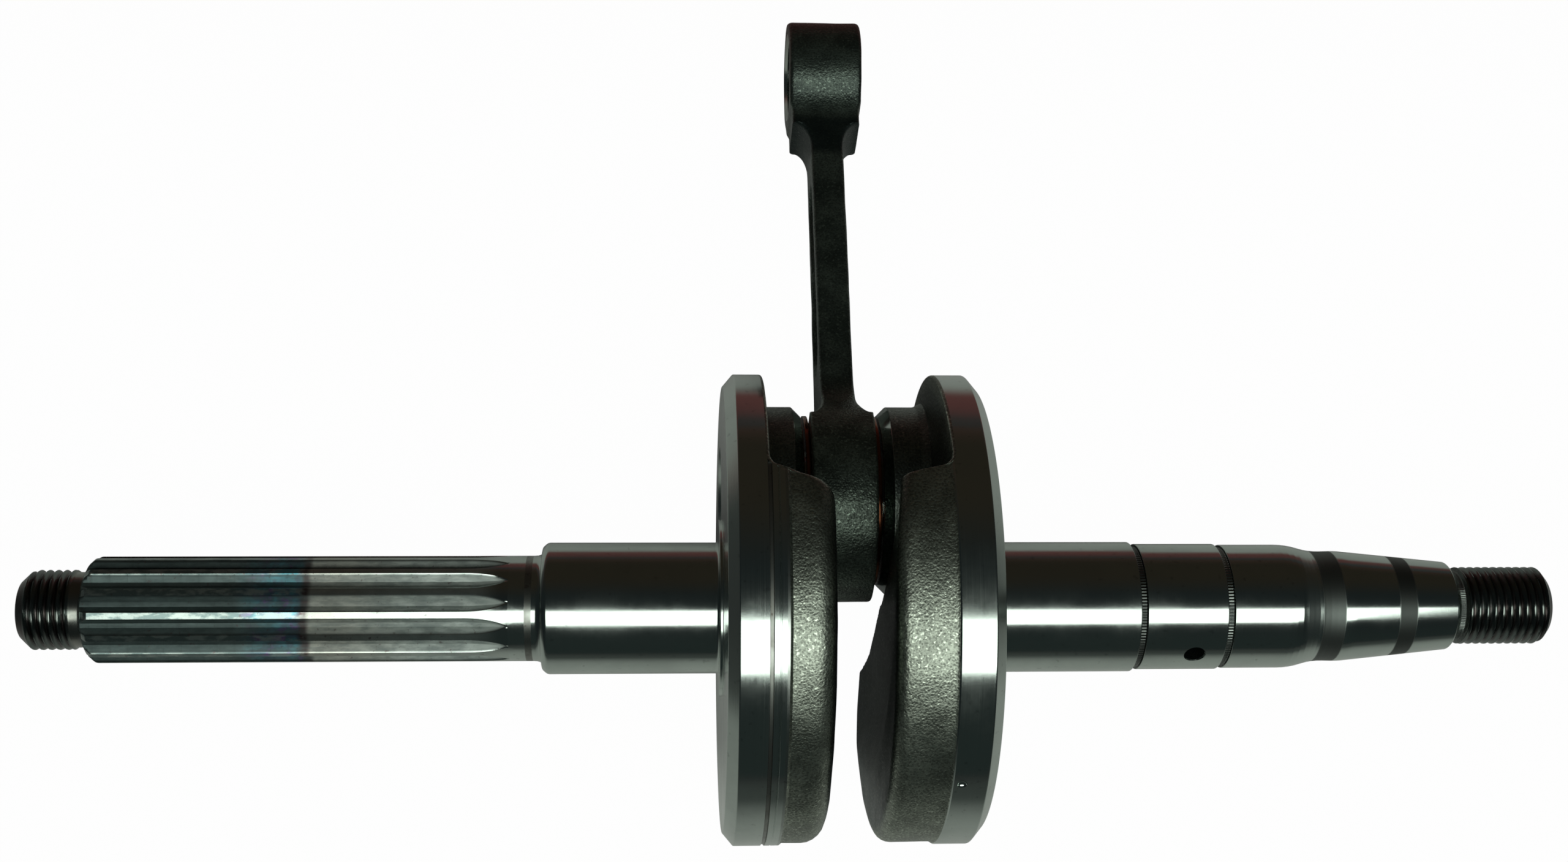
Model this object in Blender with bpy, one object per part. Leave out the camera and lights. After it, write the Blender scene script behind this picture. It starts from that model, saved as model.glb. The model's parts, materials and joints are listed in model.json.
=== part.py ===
"""Built-up crankshaft of a small single-cylinder two-stroke engine.

Two half cranks are pressed on one crank pin. The connecting rod turns on the pin in a caged needle
bearing, with a thrust washer on each side. The crank lies on a bench, as it does when it is taken out:
+X runs along the crank axis towards the tapered end, +Z is up, and the origin is on the crank axis in
the rod's middle plane. Each half is modelled with its throw along the crank frame's own +Z.
"""

from math import asin, atan2, cos, pi, radians, sin, sqrt, tau

import bmesh
import bpy
from mathutils import Matrix, Vector

MM = 0.001

# Attitude on the bench
THROW_DIP = radians(21.0)  # the crank pin lies this far below the horizontal through the axis

# Motion sizes
THROW = 18.7 * MM  # half the stroke
ROD_LENGTH = 80.0 * MM  # between the two eye centres

# Clearances
RUNNING_GAP = 0.3 * MM  # between pieces that roll or turn on each other
SEAT_GAP = 0.3 * MM  # round the pressed crank pin

# Big-end bearing
PIN_DIAMETER = 16.0 * MM
PIN_END_RECESS = 0.4 * MM  # the pin's ends lie this far inside the webs
PIN_CHAMFER = 0.8 * MM
NEEDLE_DIAMETER = 3.0 * MM
NEEDLE_LENGTH = 7.2 * MM
NEEDLE_COUNT = 14
CAGE_WALL = 1.7 * MM  # radial thickness
CAGE_END_RING = 0.7 * MM  # solid ring beyond the pockets
WASHER_THICKNESS = 0.7 * MM
WASHER_DIAMETER = 27.0 * MM

# Connecting rod
BIG_END_DIAMETER = 32.0 * MM
BIG_END_WIDTH = 9.5 * MM
BIG_END_FLARE = 13.2 * MM  # full width ends this far from the pin
SMALL_END_DIAMETER = 19.0 * MM
SMALL_END_BORE = 14.0 * MM
SMALL_END_WIDTH = 11.6 * MM
SMALL_END_FLARE = 13.5 * MM  # full width starts this far below the small eye's centre
SHANK_THICKNESS = 4.8 * MM
SHANK_DEPTH_LOW = 13.0 * MM  # across the shank next to the big end
SHANK_DEPTH_HIGH = 10.5 * MM  # across the shank next to the small end
SHANK_BLEND_LOW = 9.0 * MM  # blend radius into the big end
SHANK_BLEND_HIGH = 8.0 * MM  # blend radius into the small end
FLANGE = 1.9 * MM  # edge left beside the shank's channels
CHANNEL_DEPTH = 1.0 * MM
CHANNEL_END_LAND = 9.0 * MM  # from the flares to the channels' ends

# Webs and counterweights
WEB_DIAMETER = 71.6 * MM
WEB_CHAMFER_LENGTH = 1.6 * MM
WEB_CHAMFER_RISE = 1.9 * MM
DRIVE_WEB_FACE = 18.7 * MM  # outer faces, from the rod's middle plane
IGNITION_WEB_FACE = 19.6 * MM
DRIVE_WEB_THICKNESS = 6.0 * MM  # the plain plate around the pin boss
IGNITION_WEB_THICKNESS = 6.4 * MM
DRIVE_WEIGHT_FACE = 3.6 * MM  # inner faces of the counterweights, from the same plane
IGNITION_WEIGHT_FACE = 5.2 * MM
DRIVE_TURNED_WIDTH = 8.5 * MM  # turned part of the rim, from the outer face
IGNITION_TURNED_WIDTH = 6.7 * MM
FORGED_STEP = 0.35 * MM  # the forged rim lies this far below the turned one
FORGED_EDGE_RADIUS = 1.6 * MM
WEIGHT_TOP_AT_WEB = 5.6 * MM  # upper edge of the counterweight, above the axis
WEIGHT_TOP_AT_FACE = 2.3 * MM
ROD_RELIEF = 1.0 * MM  # radial room scooped out round the big end
PIN_BOSS_DIAMETER = 29.8 * MM
PIN_BOSS_CHAMFER = 1.5 * MM
BEARING_SHOULDER_DIAMETER = 27.0 * MM
BEARING_SHOULDER_HEIGHT = 0.5 * MM

# Shafts
JOURNAL_DIAMETER = 20.0 * MM
THREAD_DIAMETER = 12.0 * MM
THREAD_PITCH = 1.25 * MM
THREAD_DEPTH = 0.77 * MM
THREAD_CREST_WIDTH = 0.2 * MM
THREAD_ROOT_GAP = 0.1 * MM  # between the feet of neighbouring turns
THREAD_SINK = 0.23 * MM  # how far the ridge's foot lies inside the core
THREAD_END_LAND = 0.11 * MM  # plain core left at each end of the ridge
THREAD_FADE_START = 0.3  # share of its depth where the ridge starts and stops
THREAD_END_CHAMFER = 0.9 * MM
THREAD_RELIEF_DIAMETER = 10.6 * MM

# Drive side, outwards from the web
DRIVE_JOURNAL_LENGTH = 26.7 * MM
JOURNAL_CHAMFER_LENGTH = 1.9 * MM
JOURNAL_CHAMFER_RISE = 0.9 * MM
SPLINE_DIAMETER = 16.0 * MM
SPLINED_SHAFT_LENGTH = 67.3 * MM  # from the journal to the thread relief
SPLINE_COUNT = 14
SPLINE_PHASE = radians(6.8)  # first groove, about the axis from the throw
SPLINE_DEPTH = 1.0 * MM
SPLINE_LAND_WIDTH = 0.95 * MM
SPLINE_FLOOR_WIDTH = 1.7 * MM
SPLINE_PLAIN_LENGTH = 4.8 * MM  # plain shaft left beside the journal
SPLINE_RUNOUT_LENGTH = 6.4 * MM
SPLINE_TIP_WIDTH = 0.1 * MM  # a groove's floor where its run-out ends
SPLINE_TIP_RISE = 0.05 * MM  # the floor's last point above the shaft's surface
SPLINE_END_CHAMFER = 1.1 * MM
DRIVE_RELIEF_LENGTH = 2.5 * MM
DRIVE_THREAD_LENGTH = 7.7 * MM

# Ignition side, outwards from the web
IGNITION_JOURNAL_LENGTH = 24.3 * MM
SHAFT_GROOVE_WIDTH = 1.0 * MM
SHAFT_GROOVE_DEPTH = 0.5 * MM
SEAL_LAND_DIAMETER = 19.4 * MM
SEAL_LAND_LENGTH = 12.4 * MM
COLLAR_DIAMETER = 19.1 * MM
COLLAR_LENGTH = 10.8 * MM
CONE_LENGTH = 2.6 * MM
TAPER_BIG_DIAMETER = 17.2 * MM
TAPER_RATE = 0.2  # loss of diameter per length, a 1 in 5 taper
TAPER_NECK_LENGTH = 4.6 * MM  # parallel part before the taper
TAPER_LENGTH = 17.6 * MM
TAPER_END_CHAMFER = 0.8 * MM
IGNITION_RELIEF_LENGTH = 1.4 * MM
IGNITION_THREAD_LENGTH = 13.6 * MM
KEY_WIDTH = 3.0 * MM
KEY_DISC_DIAMETER = 13.0 * MM
KEY_SEAT_DEPTH = 3.6 * MM
KEY_ANGLE = radians(-100.0)  # about the axis from the throw, on the underside
CROSS_HOLE_DIAMETER = 3.0 * MM
CROSS_HOLE_DEPTH = 6.0 * MM
CROSS_HOLE_OFFSET = 7.1 * MM  # from the first groove
CROSS_HOLE_ANGLE = radians(169.3)  # about the axis from the throw

# Sizes that follow from those above
PIN_RADIUS = PIN_DIAMETER / 2
NEEDLE_RADIUS = NEEDLE_DIAMETER / 2
NEEDLE_CIRCLE = PIN_RADIUS + RUNNING_GAP + NEEDLE_RADIUS
BIG_END_BORE_RADIUS = NEEDLE_CIRCLE + NEEDLE_RADIUS + RUNNING_GAP
CAGE_LENGTH = NEEDLE_LENGTH + 2 * RUNNING_GAP + 2 * CAGE_END_RING
WASHER_PLACE = BIG_END_WIDTH / 2 + RUNNING_GAP + WASHER_THICKNESS / 2
PIN_BOSS_FACE = WASHER_PLACE + WASHER_THICKNESS / 2 + RUNNING_GAP
WEB_RADIUS = WEB_DIAMETER / 2
FORGED_RADIUS = WEB_RADIUS - FORGED_STEP
THREAD_CORE_RADIUS = THREAD_DIAMETER / 2 - THREAD_DEPTH
TAPER_SMALL_DIAMETER = TAPER_BIG_DIAMETER - TAPER_RATE * TAPER_LENGTH
SMALL_END_RADIUS = SMALL_END_DIAMETER / 2
BIG_END_RADIUS = BIG_END_DIAMETER / 2
# The webs and the small eye rest on the same bench.
ROD_DIP = asin((WEB_RADIUS - SMALL_END_RADIUS - THROW * sin(THROW_DIP)) / ROD_LENGTH)

# Mesh fineness
SHAFT_SIDES = 40
HALF_FACET = 0.5
ROLLER_SIDES = 12
DRILL_SIDES = 16
CAGE_SIDES_PER_POCKET = 4
ARC_STEP = radians(9.0)
FILLET_STEP = radians(22.5)
EDGE_STEP = radians(30.0)
THREAD_STEPS = 12  # per turn
RUNOUT_STEPS = 6
WELD = 0.0001 * MM
CUT_MARGIN = 1.0 * MM  # how far a cutter runs past what it cuts
SHARP_ANGLE = radians(32.0)


def clear_scene():
    for old in list(bpy.data.objects):
        bpy.data.objects.remove(old, do_unlink=True)


def make_material(name, colour, roughness):
    material = bpy.data.materials.new(name)
    material.use_nodes = True
    shader = material.node_tree.nodes["Principled BSDF"]
    shader.inputs["Base Color"].default_value = (*colour, 1.0)
    shader.inputs["Roughness"].default_value = roughness
    shader.inputs["Metallic"].default_value = 1.0
    material.diffuse_color = (*colour, 1.0)
    return material


def make_empty(name, parent=None, location=(0.0, 0.0, 0.0), turn=0.0):
    empty = bpy.data.objects.new(name, None)
    bpy.context.scene.collection.objects.link(empty)
    empty.parent = parent
    empty.location = location
    empty.rotation_euler = (turn, 0.0, 0.0)
    return empty


def make_object(name, bm, parent, material=None, location=(0.0, 0.0, 0.0)):
    """Turns a bmesh into an object with outward faces, smooth except at its real edges."""
    bmesh.ops.recalc_face_normals(bm, faces=bm.faces)
    mesh = bpy.data.meshes.new(name)
    bm.to_mesh(mesh)
    bm.free()
    mesh.shade_smooth()
    mesh.set_sharp_from_angle(angle=SHARP_ANGLE)
    if material:
        mesh.materials.append(material)
    part = bpy.data.objects.new(name, mesh)
    bpy.context.scene.collection.objects.link(part)
    part.parent = parent
    part.location = location
    return part


def combine(target, tool, operation):
    """Adds, cuts or intersects the tool with the target, and hides the tool."""
    modifier = target.modifiers.new(tool.name, "BOOLEAN")
    modifier.operation = operation
    modifier.solver = "EXACT"
    modifier.object = tool
    tool.hide_render = True
    tool.display_type = "WIRE"


def arc(centre, radius, start, end, step=ARC_STEP):
    """Points of an arc in a plane, both ends included."""
    count = max(2, round(abs(end - start) / step))
    angles = [start + (end - start) * i / count for i in range(count + 1)]
    return [(centre[0] + radius * cos(a), centre[1] + radius * sin(a)) for a in angles]


def turned(profile, sides=SHAFT_SIDES, closed=False, offset=0.0):
    """Spins (x, radius) points about the X axis; an open profile starts and ends on the axis.

    The offset turns the facets, as a share of one facet.
    """
    bm = bmesh.new()
    turn = offset * tau / sides
    points = [bm.verts.new((x, -radius * sin(turn), radius * cos(turn))) for x, radius in profile]
    pairs = list(zip(points, points[1:]))
    if closed:
        pairs.append((points[-1], points[0]))
    edges = [bm.edges.new(pair) for pair in pairs]
    bmesh.ops.spin(bm, geom=points + edges, cent=(0, 0, 0), axis=(1, 0, 0), dvec=(0, 0, 0), angle=tau,
                   steps=sides, use_merge=True)
    bmesh.ops.remove_doubles(bm, verts=bm.verts, dist=WELD)
    return bm


def tube(x_start, x_end, outer, inner, sides=SHAFT_SIDES):
    profile = [(x_start, inner), (x_start, outer), (x_end, outer), (x_end, inner)]
    return turned(profile, sides, closed=True)


def rod_of(x_start, x_end, radius, sides=SHAFT_SIDES):
    """A plain round rod. Its corners lie halfway between those of the turned piece that it cuts."""
    profile = [(x_start, 0.0), (x_start, radius), (x_end, radius), (x_end, 0.0)]
    return turned(profile, sides, offset=HALF_FACET)


def extruded(outline, low, high, place):
    """Extrudes a closed outline between two depths; place(u, v, depth) gives each point."""
    bm = bmesh.new()
    near = bm.faces.new([bm.verts.new(place(u, v, low)) for u, v in outline])
    shift = Vector(place(0.0, 0.0, high)) - Vector(place(0.0, 0.0, low))
    grown = bmesh.ops.extrude_face_region(bm, geom=[near], use_keep_orig=True)
    moved = [g for g in grown["geom"] if isinstance(g, bmesh.types.BMVert)]
    bmesh.ops.translate(bm, verts=moved, vec=shift)
    return bm


def lofted(bm, sections):
    """Bridges rings of points, all of one length, into a closed solid inside the given bmesh."""
    rings = [[bm.verts.new(point) for point in section] for section in sections]
    for ring, after in zip(rings, rings[1:]):
        for i, vert in enumerate(ring):
            k = (i + 1) % len(ring)
            bm.faces.new((vert, ring[k], after[k], after[i]))
    bm.faces.new(rings[0])
    bm.faces.new(rings[-1])


def thread_ridge(x_start, x_end):
    """One right-hand V ridge wound on the thread core, which fades out at both ends."""
    bm = bmesh.new()
    foot = THREAD_CORE_RADIUS - THREAD_SINK
    half_foot = (THREAD_PITCH - THREAD_ROOT_GAP) / 2
    half_crest = THREAD_CREST_WIDTH / 2
    margin = half_foot + THREAD_END_LAND
    first = x_start + margin
    turns = (x_end - x_start - 2 * margin) / THREAD_PITCH
    steps = round(turns * THREAD_STEPS)
    fade = THREAD_STEPS // 2
    sections = []
    for i in range(steps + 1):
        share = i / steps
        grown = min(1.0, i / fade, (steps - i) / fade)
        height = THREAD_FADE_START + (1.0 - THREAD_FADE_START) * grown
        crest = THREAD_CORE_RADIUS + THREAD_DEPTH * height
        angle = tau * turns * share
        x = first + THREAD_PITCH * turns * share
        corners = ((-half_foot, foot), (-half_crest, crest), (half_crest, crest), (half_foot, foot))
        sections.append([(x + dx, -r * sin(angle), r * cos(angle)) for dx, r in corners])
    lofted(bm, sections)
    return bm


def spline_grooves(x_outer, x_inner):
    """All the grooves between the splines; each floor rises along its run-out to a pointed tip."""
    bm = bmesh.new()
    radius = SPLINE_DIAMETER / 2
    pitch = tau / SPLINE_COUNT
    half_open = radius * sin((pitch - SPLINE_LAND_WIDTH / radius) / 2)
    half_floor = SPLINE_FLOOR_WIDTH / 2
    top = radius + CUT_MARGIN
    widen = (half_open - half_floor) / SPLINE_DEPTH
    runout_start = x_inner - SPLINE_RUNOUT_LENGTH
    shares = [i / RUNOUT_STEPS for i in range(RUNOUT_STEPS + 1)]
    stations = [(x_outer - CUT_MARGIN, 0.0)]
    stations += [(runout_start + SPLINE_RUNOUT_LENGTH * share, share) for share in shares]
    for k in range(SPLINE_COUNT):
        turn = Matrix.Rotation(SPLINE_PHASE + pitch * k, 3, "X")
        sections = []
        for x, share in stations:
            narrow = 1.0 - (1.0 - SPLINE_TIP_WIDTH / SPLINE_FLOOR_WIDTH) * share
            floor = radius - SPLINE_DEPTH + (SPLINE_DEPTH + SPLINE_TIP_RISE) * share ** 2
            half_low = half_floor * narrow
            half_high = half_low + widen * (top - floor) * narrow
            corners = ((-half_high, top), (-half_low, floor), (half_low, floor), (half_high, top))
            sections.append([turn @ Vector((x, y, z)) for y, z in corners])
        lofted(bm, sections)
    return bm


def drive_shaft_profile():
    """Outline of the drive half from the thread's end to the counterweight's inner face."""
    face = -DRIVE_WEB_FACE
    shoulder = face - BEARING_SHOULDER_HEIGHT
    journal = shoulder - DRIVE_JOURNAL_LENGTH
    spline_end = journal - SPLINED_SHAFT_LENGTH
    relief = spline_end - DRIVE_RELIEF_LENGTH
    end = relief - DRIVE_THREAD_LENGTH
    spline_radius = SPLINE_DIAMETER / 2
    journal_radius = JOURNAL_DIAMETER / 2
    relief_radius = THREAD_RELIEF_DIAMETER / 2
    outline = [
        (end, 0.0),
        (end, THREAD_CORE_RADIUS - THREAD_END_CHAMFER),
        (end + THREAD_END_CHAMFER, THREAD_CORE_RADIUS),
        (relief, THREAD_CORE_RADIUS),
        (relief, relief_radius),
        (spline_end, relief_radius),
        (spline_end, spline_radius - SPLINE_END_CHAMFER),
        (spline_end + SPLINE_END_CHAMFER, spline_radius),
        (journal, spline_radius),
        (journal, journal_radius - JOURNAL_CHAMFER_RISE),
        (journal + JOURNAL_CHAMFER_LENGTH, journal_radius),
        (shoulder, journal_radius),
        (shoulder, BEARING_SHOULDER_DIAMETER / 2),
        (face, BEARING_SHOULDER_DIAMETER / 2),
    ]
    places = {
        "thread": (end + THREAD_END_CHAMFER, relief),
        "splines": (spline_end, journal - SPLINE_PLAIN_LENGTH),
    }
    return outline, places


def ignition_shaft_profile():
    """Outline of the ignition half, listed outwards from the web to the thread's end."""
    face = IGNITION_WEB_FACE
    shoulder = face + BEARING_SHOULDER_HEIGHT
    first_groove = shoulder + IGNITION_JOURNAL_LENGTH
    seal_land = first_groove + SHAFT_GROOVE_WIDTH
    second_groove = seal_land + SEAL_LAND_LENGTH
    collar = second_groove + SHAFT_GROOVE_WIDTH
    cone = collar + COLLAR_LENGTH
    neck = cone + CONE_LENGTH
    taper = neck + TAPER_NECK_LENGTH
    taper_end = taper + TAPER_LENGTH
    relief = taper_end + TAPER_END_CHAMFER
    thread = relief + IGNITION_RELIEF_LENGTH
    end = thread + IGNITION_THREAD_LENGTH
    journal_radius = JOURNAL_DIAMETER / 2
    seal_radius = SEAL_LAND_DIAMETER / 2
    collar_radius = COLLAR_DIAMETER / 2
    relief_radius = THREAD_RELIEF_DIAMETER / 2
    outline = [
        (face, BEARING_SHOULDER_DIAMETER / 2),
        (shoulder, BEARING_SHOULDER_DIAMETER / 2),
        (shoulder, journal_radius),
        (first_groove, journal_radius),
        (first_groove, seal_radius - SHAFT_GROOVE_DEPTH),
        (seal_land, seal_radius - SHAFT_GROOVE_DEPTH),
        (seal_land, seal_radius),
        (second_groove, seal_radius),
        (second_groove, collar_radius - SHAFT_GROOVE_DEPTH),
        (collar, collar_radius - SHAFT_GROOVE_DEPTH),
        (collar, collar_radius),
        (cone, collar_radius),
        (neck, TAPER_BIG_DIAMETER / 2),
        (taper, TAPER_BIG_DIAMETER / 2),
        (taper_end, TAPER_SMALL_DIAMETER / 2),
        (relief, TAPER_SMALL_DIAMETER / 2 - TAPER_END_CHAMFER),
        (relief, relief_radius),
        (thread, relief_radius),
        (thread, THREAD_CORE_RADIUS),
        (end - THREAD_END_CHAMFER, THREAD_CORE_RADIUS),
        (end, THREAD_CORE_RADIUS - THREAD_END_CHAMFER),
        (end, 0.0),
    ]
    places = {
        "thread": (thread, end - THREAD_END_CHAMFER),
        "taper": (taper, taper_end),
        "cross_hole": first_groove + CROSS_HOLE_OFFSET,
    }
    return outline, places


def web_outline(side, face, turned_width, weight_face):
    """Outline of a web and its counterweight as a full disc, from the outer face to the axis inside."""
    edge = FORGED_EDGE_RADIUS
    points = [
        (face, WEB_RADIUS - WEB_CHAMFER_RISE),
        (face - WEB_CHAMFER_LENGTH, WEB_RADIUS),
        (face - turned_width, WEB_RADIUS),
        (face - turned_width - FORGED_STEP, FORGED_RADIUS),
    ]
    points += arc((weight_face + edge, FORGED_RADIUS - edge), edge, pi / 2, pi, step=EDGE_STEP)
    points.append((weight_face, 0.0))
    return [(side * x, radius) for x, radius in points]


def web_tools(name, side, frame, face, thickness, weight_face):
    """Solids that shape a web: the recess over the counterweight, the scoop, the pin boss and its bore."""
    plate = face - thickness
    inside = weight_face - CUT_MARGIN
    slope = (WEIGHT_TOP_AT_WEB - WEIGHT_TOP_AT_FACE) / (plate - weight_face)
    high = WEB_RADIUS + CUT_MARGIN
    outline = [
        (side * plate, WEIGHT_TOP_AT_WEB),
        (side * plate, high),
        (side * inside, high),
        (side * inside, WEIGHT_TOP_AT_FACE - slope * CUT_MARGIN),
    ]
    recess = extruded(outline, -high, high, lambda u, v, depth: (u, depth, v))
    recess = make_object(name + "_recess_cut", recess, frame)
    pin = (0.0, 0.0, THROW)
    relief_radius = BIG_END_RADIUS + ROD_RELIEF
    scoop_face = side * (PIN_BOSS_FACE + ROD_RELIEF)
    scoop = make_object(name + "_scoop_cut", rod_of(0.0, scoop_face, relief_radius), frame, location=pin)
    boss_radius = PIN_BOSS_DIAMETER / 2
    boss_profile = [
        (side * (plate + thickness / 2), 0.0),
        (side * (plate + thickness / 2), boss_radius),
        (side * (PIN_BOSS_FACE + PIN_BOSS_CHAMFER), boss_radius),
        (side * PIN_BOSS_FACE, boss_radius - PIN_BOSS_CHAMFER),
        (side * PIN_BOSS_FACE, 0.0),
    ]
    boss = make_object(name + "_pin_boss", turned(boss_profile), frame, location=pin)
    bore = rod_of(0.0, side * (face + CUT_MARGIN), PIN_RADIUS + SEAT_GAP)
    bore = make_object(name + "_pin_bore", bore, frame, location=pin)
    return recess, scoop, boss, bore


def shape_web(half, tools):
    recess, scoop, boss, bore = tools
    combine(half, recess, "DIFFERENCE")
    combine(half, scoop, "DIFFERENCE")
    combine(half, boss, "UNION")
    combine(half, bore, "DIFFERENCE")


def make_drive_half(frame, material):
    shaft, places = drive_shaft_profile()
    web = web_outline(-1, DRIVE_WEB_FACE, DRIVE_TURNED_WIDTH, DRIVE_WEIGHT_FACE)
    half = make_object("drive_half_crank", turned(shaft + web), frame, material)
    tools = web_tools("drive", -1, frame, DRIVE_WEB_FACE, DRIVE_WEB_THICKNESS, DRIVE_WEIGHT_FACE)
    shape_web(half, tools)
    combine(half, make_object("drive_grooves", spline_grooves(*places["splines"]), frame), "DIFFERENCE")
    combine(half, make_object("drive_thread", thread_ridge(*places["thread"]), frame), "UNION")


def key_seat(taper_start, taper_end):
    """A half-moon seat for the flywheel key, cut into the middle of the taper."""
    middle = (taper_start + taper_end) / 2
    surface = (TAPER_BIG_DIAMETER + TAPER_SMALL_DIAMETER) / 4
    centre = surface - KEY_SEAT_DEPTH + KEY_DISC_DIAMETER / 2
    disc = rod_of(-KEY_WIDTH / 2, KEY_WIDTH / 2, KEY_DISC_DIAMETER / 2)
    place = Matrix.Rotation(KEY_ANGLE, 4, "X") @ Matrix.Translation((middle, 0.0, centre))
    bmesh.ops.transform(disc, matrix=place @ Matrix.Rotation(pi / 2, 4, "Z"), verts=disc.verts)
    return disc


def cross_hole(x, radius):
    """A blind drilled hole, square to the shaft."""
    drill = rod_of(radius - CROSS_HOLE_DEPTH, radius + CUT_MARGIN, CROSS_HOLE_DIAMETER / 2, DRILL_SIDES)
    upright = Matrix.Rotation(-pi / 2, 4, "Y")
    place = Matrix.Translation((x, 0.0, 0.0)) @ Matrix.Rotation(CROSS_HOLE_ANGLE, 4, "X")
    bmesh.ops.transform(drill, matrix=place @ upright, verts=drill.verts)
    return drill


def make_ignition_half(frame, material):
    shaft, places = ignition_shaft_profile()
    web = web_outline(1, IGNITION_WEB_FACE, IGNITION_TURNED_WIDTH, IGNITION_WEIGHT_FACE)
    half = make_object("ignition_half_crank", turned(web[::-1] + shaft), frame, material)
    tools = web_tools("ignition", 1, frame, IGNITION_WEB_FACE, IGNITION_WEB_THICKNESS, IGNITION_WEIGHT_FACE)
    shape_web(half, tools)
    combine(half, make_object("ignition_key_seat", key_seat(*places["taper"]), frame), "DIFFERENCE")
    hole = cross_hole(places["cross_hole"], SEAL_LAND_DIAMETER / 2)
    combine(half, make_object("ignition_cross_hole", hole, frame), "DIFFERENCE")
    combine(half, make_object("ignition_thread", thread_ridge(*places["thread"]), frame), "UNION")


def make_crank_pin(frame, material):
    low = -DRIVE_WEB_FACE + PIN_END_RECESS
    high = IGNITION_WEB_FACE - PIN_END_RECESS
    profile = [
        (low, 0.0),
        (low, PIN_RADIUS - PIN_CHAMFER),
        (low + PIN_CHAMFER, PIN_RADIUS),
        (high - PIN_CHAMFER, PIN_RADIUS),
        (high, PIN_RADIUS - PIN_CHAMFER),
        (high, 0.0),
    ]
    make_object("crank_pin", turned(profile, offset=HALF_FACET), frame, material)


def blend_to_shank(radius, blend, half_depth):
    """Centre of the arc that joins an eye to the shank's side, and its angle from the eye's centre."""
    across = half_depth + blend
    along = sqrt((radius + blend) ** 2 - across ** 2)
    return (across, along), atan2(along, across)


def rod_side_outline():
    """The rod seen along the pin: two eyes joined by a tapering shank. Points are (across, along)."""
    low, low_angle = blend_to_shank(BIG_END_RADIUS, SHANK_BLEND_LOW, SHANK_DEPTH_LOW / 2)
    high, high_angle = blend_to_shank(SMALL_END_RADIUS, SHANK_BLEND_HIGH, SHANK_DEPTH_HIGH / 2)
    right = arc((0.0, 0.0), BIG_END_RADIUS, -pi / 2, low_angle)
    right += arc(low, SHANK_BLEND_LOW, low_angle + pi, pi)[1:]
    right += arc((high[0], ROD_LENGTH - high[1]), SHANK_BLEND_HIGH, pi, pi - high_angle)
    right += arc((0.0, ROD_LENGTH), SMALL_END_RADIUS, -high_angle, pi / 2)[1:]
    return right + [(-u, v) for u, v in right[-2:0:-1]]


def rod_front_outline():
    """The rod seen across the pin: a thin shank that flares to the width of each eye."""
    shank = SHANK_THICKNESS / 2
    low_half = BIG_END_WIDTH / 2
    high_half = SMALL_END_WIDTH / 2
    high_start = ROD_LENGTH - SMALL_END_FLARE
    low_round = low_half - shank
    high_round = high_half - shank
    right = [(low_half, -BIG_END_RADIUS - CUT_MARGIN)]
    right += arc((low_half, BIG_END_FLARE + low_round), low_round, -pi / 2, -pi, step=FILLET_STEP)
    right += arc((high_half, high_start - high_round), high_round, pi, pi / 2, step=FILLET_STEP)
    right.append((high_half, ROD_LENGTH + SMALL_END_RADIUS + CUT_MARGIN))
    return right + [(-u, v) for u, v in right[::-1]]


def channel_outline():
    """A long round-ended channel in the shank's side. Points are (across, along)."""
    low = BIG_END_FLARE + CHANNEL_END_LAND
    high = ROD_LENGTH - SMALL_END_FLARE - CHANNEL_END_LAND
    low_half = SHANK_DEPTH_LOW / 2 - FLANGE
    high_half = SHANK_DEPTH_HIGH / 2 - FLANGE
    outline = arc((0.0, low + low_half), low_half, -pi, 0.0, step=EDGE_STEP)
    outline += arc((0.0, high - high_half), high_half, 0.0, pi, step=EDGE_STEP)
    return outline


def make_connecting_rod(frame, material):
    def beside(u, v, depth):
        return (depth, u, v)

    def ahead(u, v, depth):
        return (u, depth, v)

    wide = max(BIG_END_WIDTH, SMALL_END_WIDTH) / 2 + CUT_MARGIN
    deep = BIG_END_RADIUS + CUT_MARGIN
    rod = make_object("connecting_rod", extruded(rod_side_outline(), -wide, wide, beside), frame, material)
    front = make_object("rod_front_form", extruded(rod_front_outline(), -deep, deep, ahead), frame)
    combine(rod, front, "INTERSECT")
    combine(rod, make_object("rod_big_bore", rod_of(-wide, wide, BIG_END_BORE_RADIUS), frame), "DIFFERENCE")
    small = rod_of(-wide, wide, SMALL_END_BORE / 2)
    bmesh.ops.translate(small, verts=small.verts, vec=(0.0, 0.0, ROD_LENGTH))
    combine(rod, make_object("rod_small_bore", small, frame), "DIFFERENCE")
    floor = SHANK_THICKNESS / 2 - CHANNEL_DEPTH
    above = SHANK_THICKNESS / 2 + CUT_MARGIN
    for name, side in (("rod_channel_drive", -1), ("rod_channel_ignition", 1)):
        channel = extruded(channel_outline(), side * floor, side * above, beside)
        combine(rod, make_object(name, channel, frame), "DIFFERENCE")


def make_cage(frame, material):
    half = CAGE_LENGTH / 2
    outer = NEEDLE_CIRCLE + CAGE_WALL / 2
    ring = tube(-half, half, outer, outer - CAGE_WALL, NEEDLE_COUNT * CAGE_SIDES_PER_POCKET)
    cage = make_object("big_end_cage", ring, frame, material)
    pockets = bmesh.new()
    size = (NEEDLE_LENGTH + 2 * RUNNING_GAP, NEEDLE_DIAMETER + 2 * RUNNING_GAP, CAGE_WALL + 2 * CUT_MARGIN)
    for k in range(NEEDLE_COUNT):
        turn = Matrix.Rotation(tau * k / NEEDLE_COUNT, 4, "X")
        place = turn @ Matrix.Translation((0.0, 0.0, NEEDLE_CIRCLE)) @ Matrix.Diagonal((*size, 1.0))
        bmesh.ops.create_cube(pockets, size=1.0, matrix=place)
    combine(cage, make_object("cage_pockets", pockets, frame), "DIFFERENCE")


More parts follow.
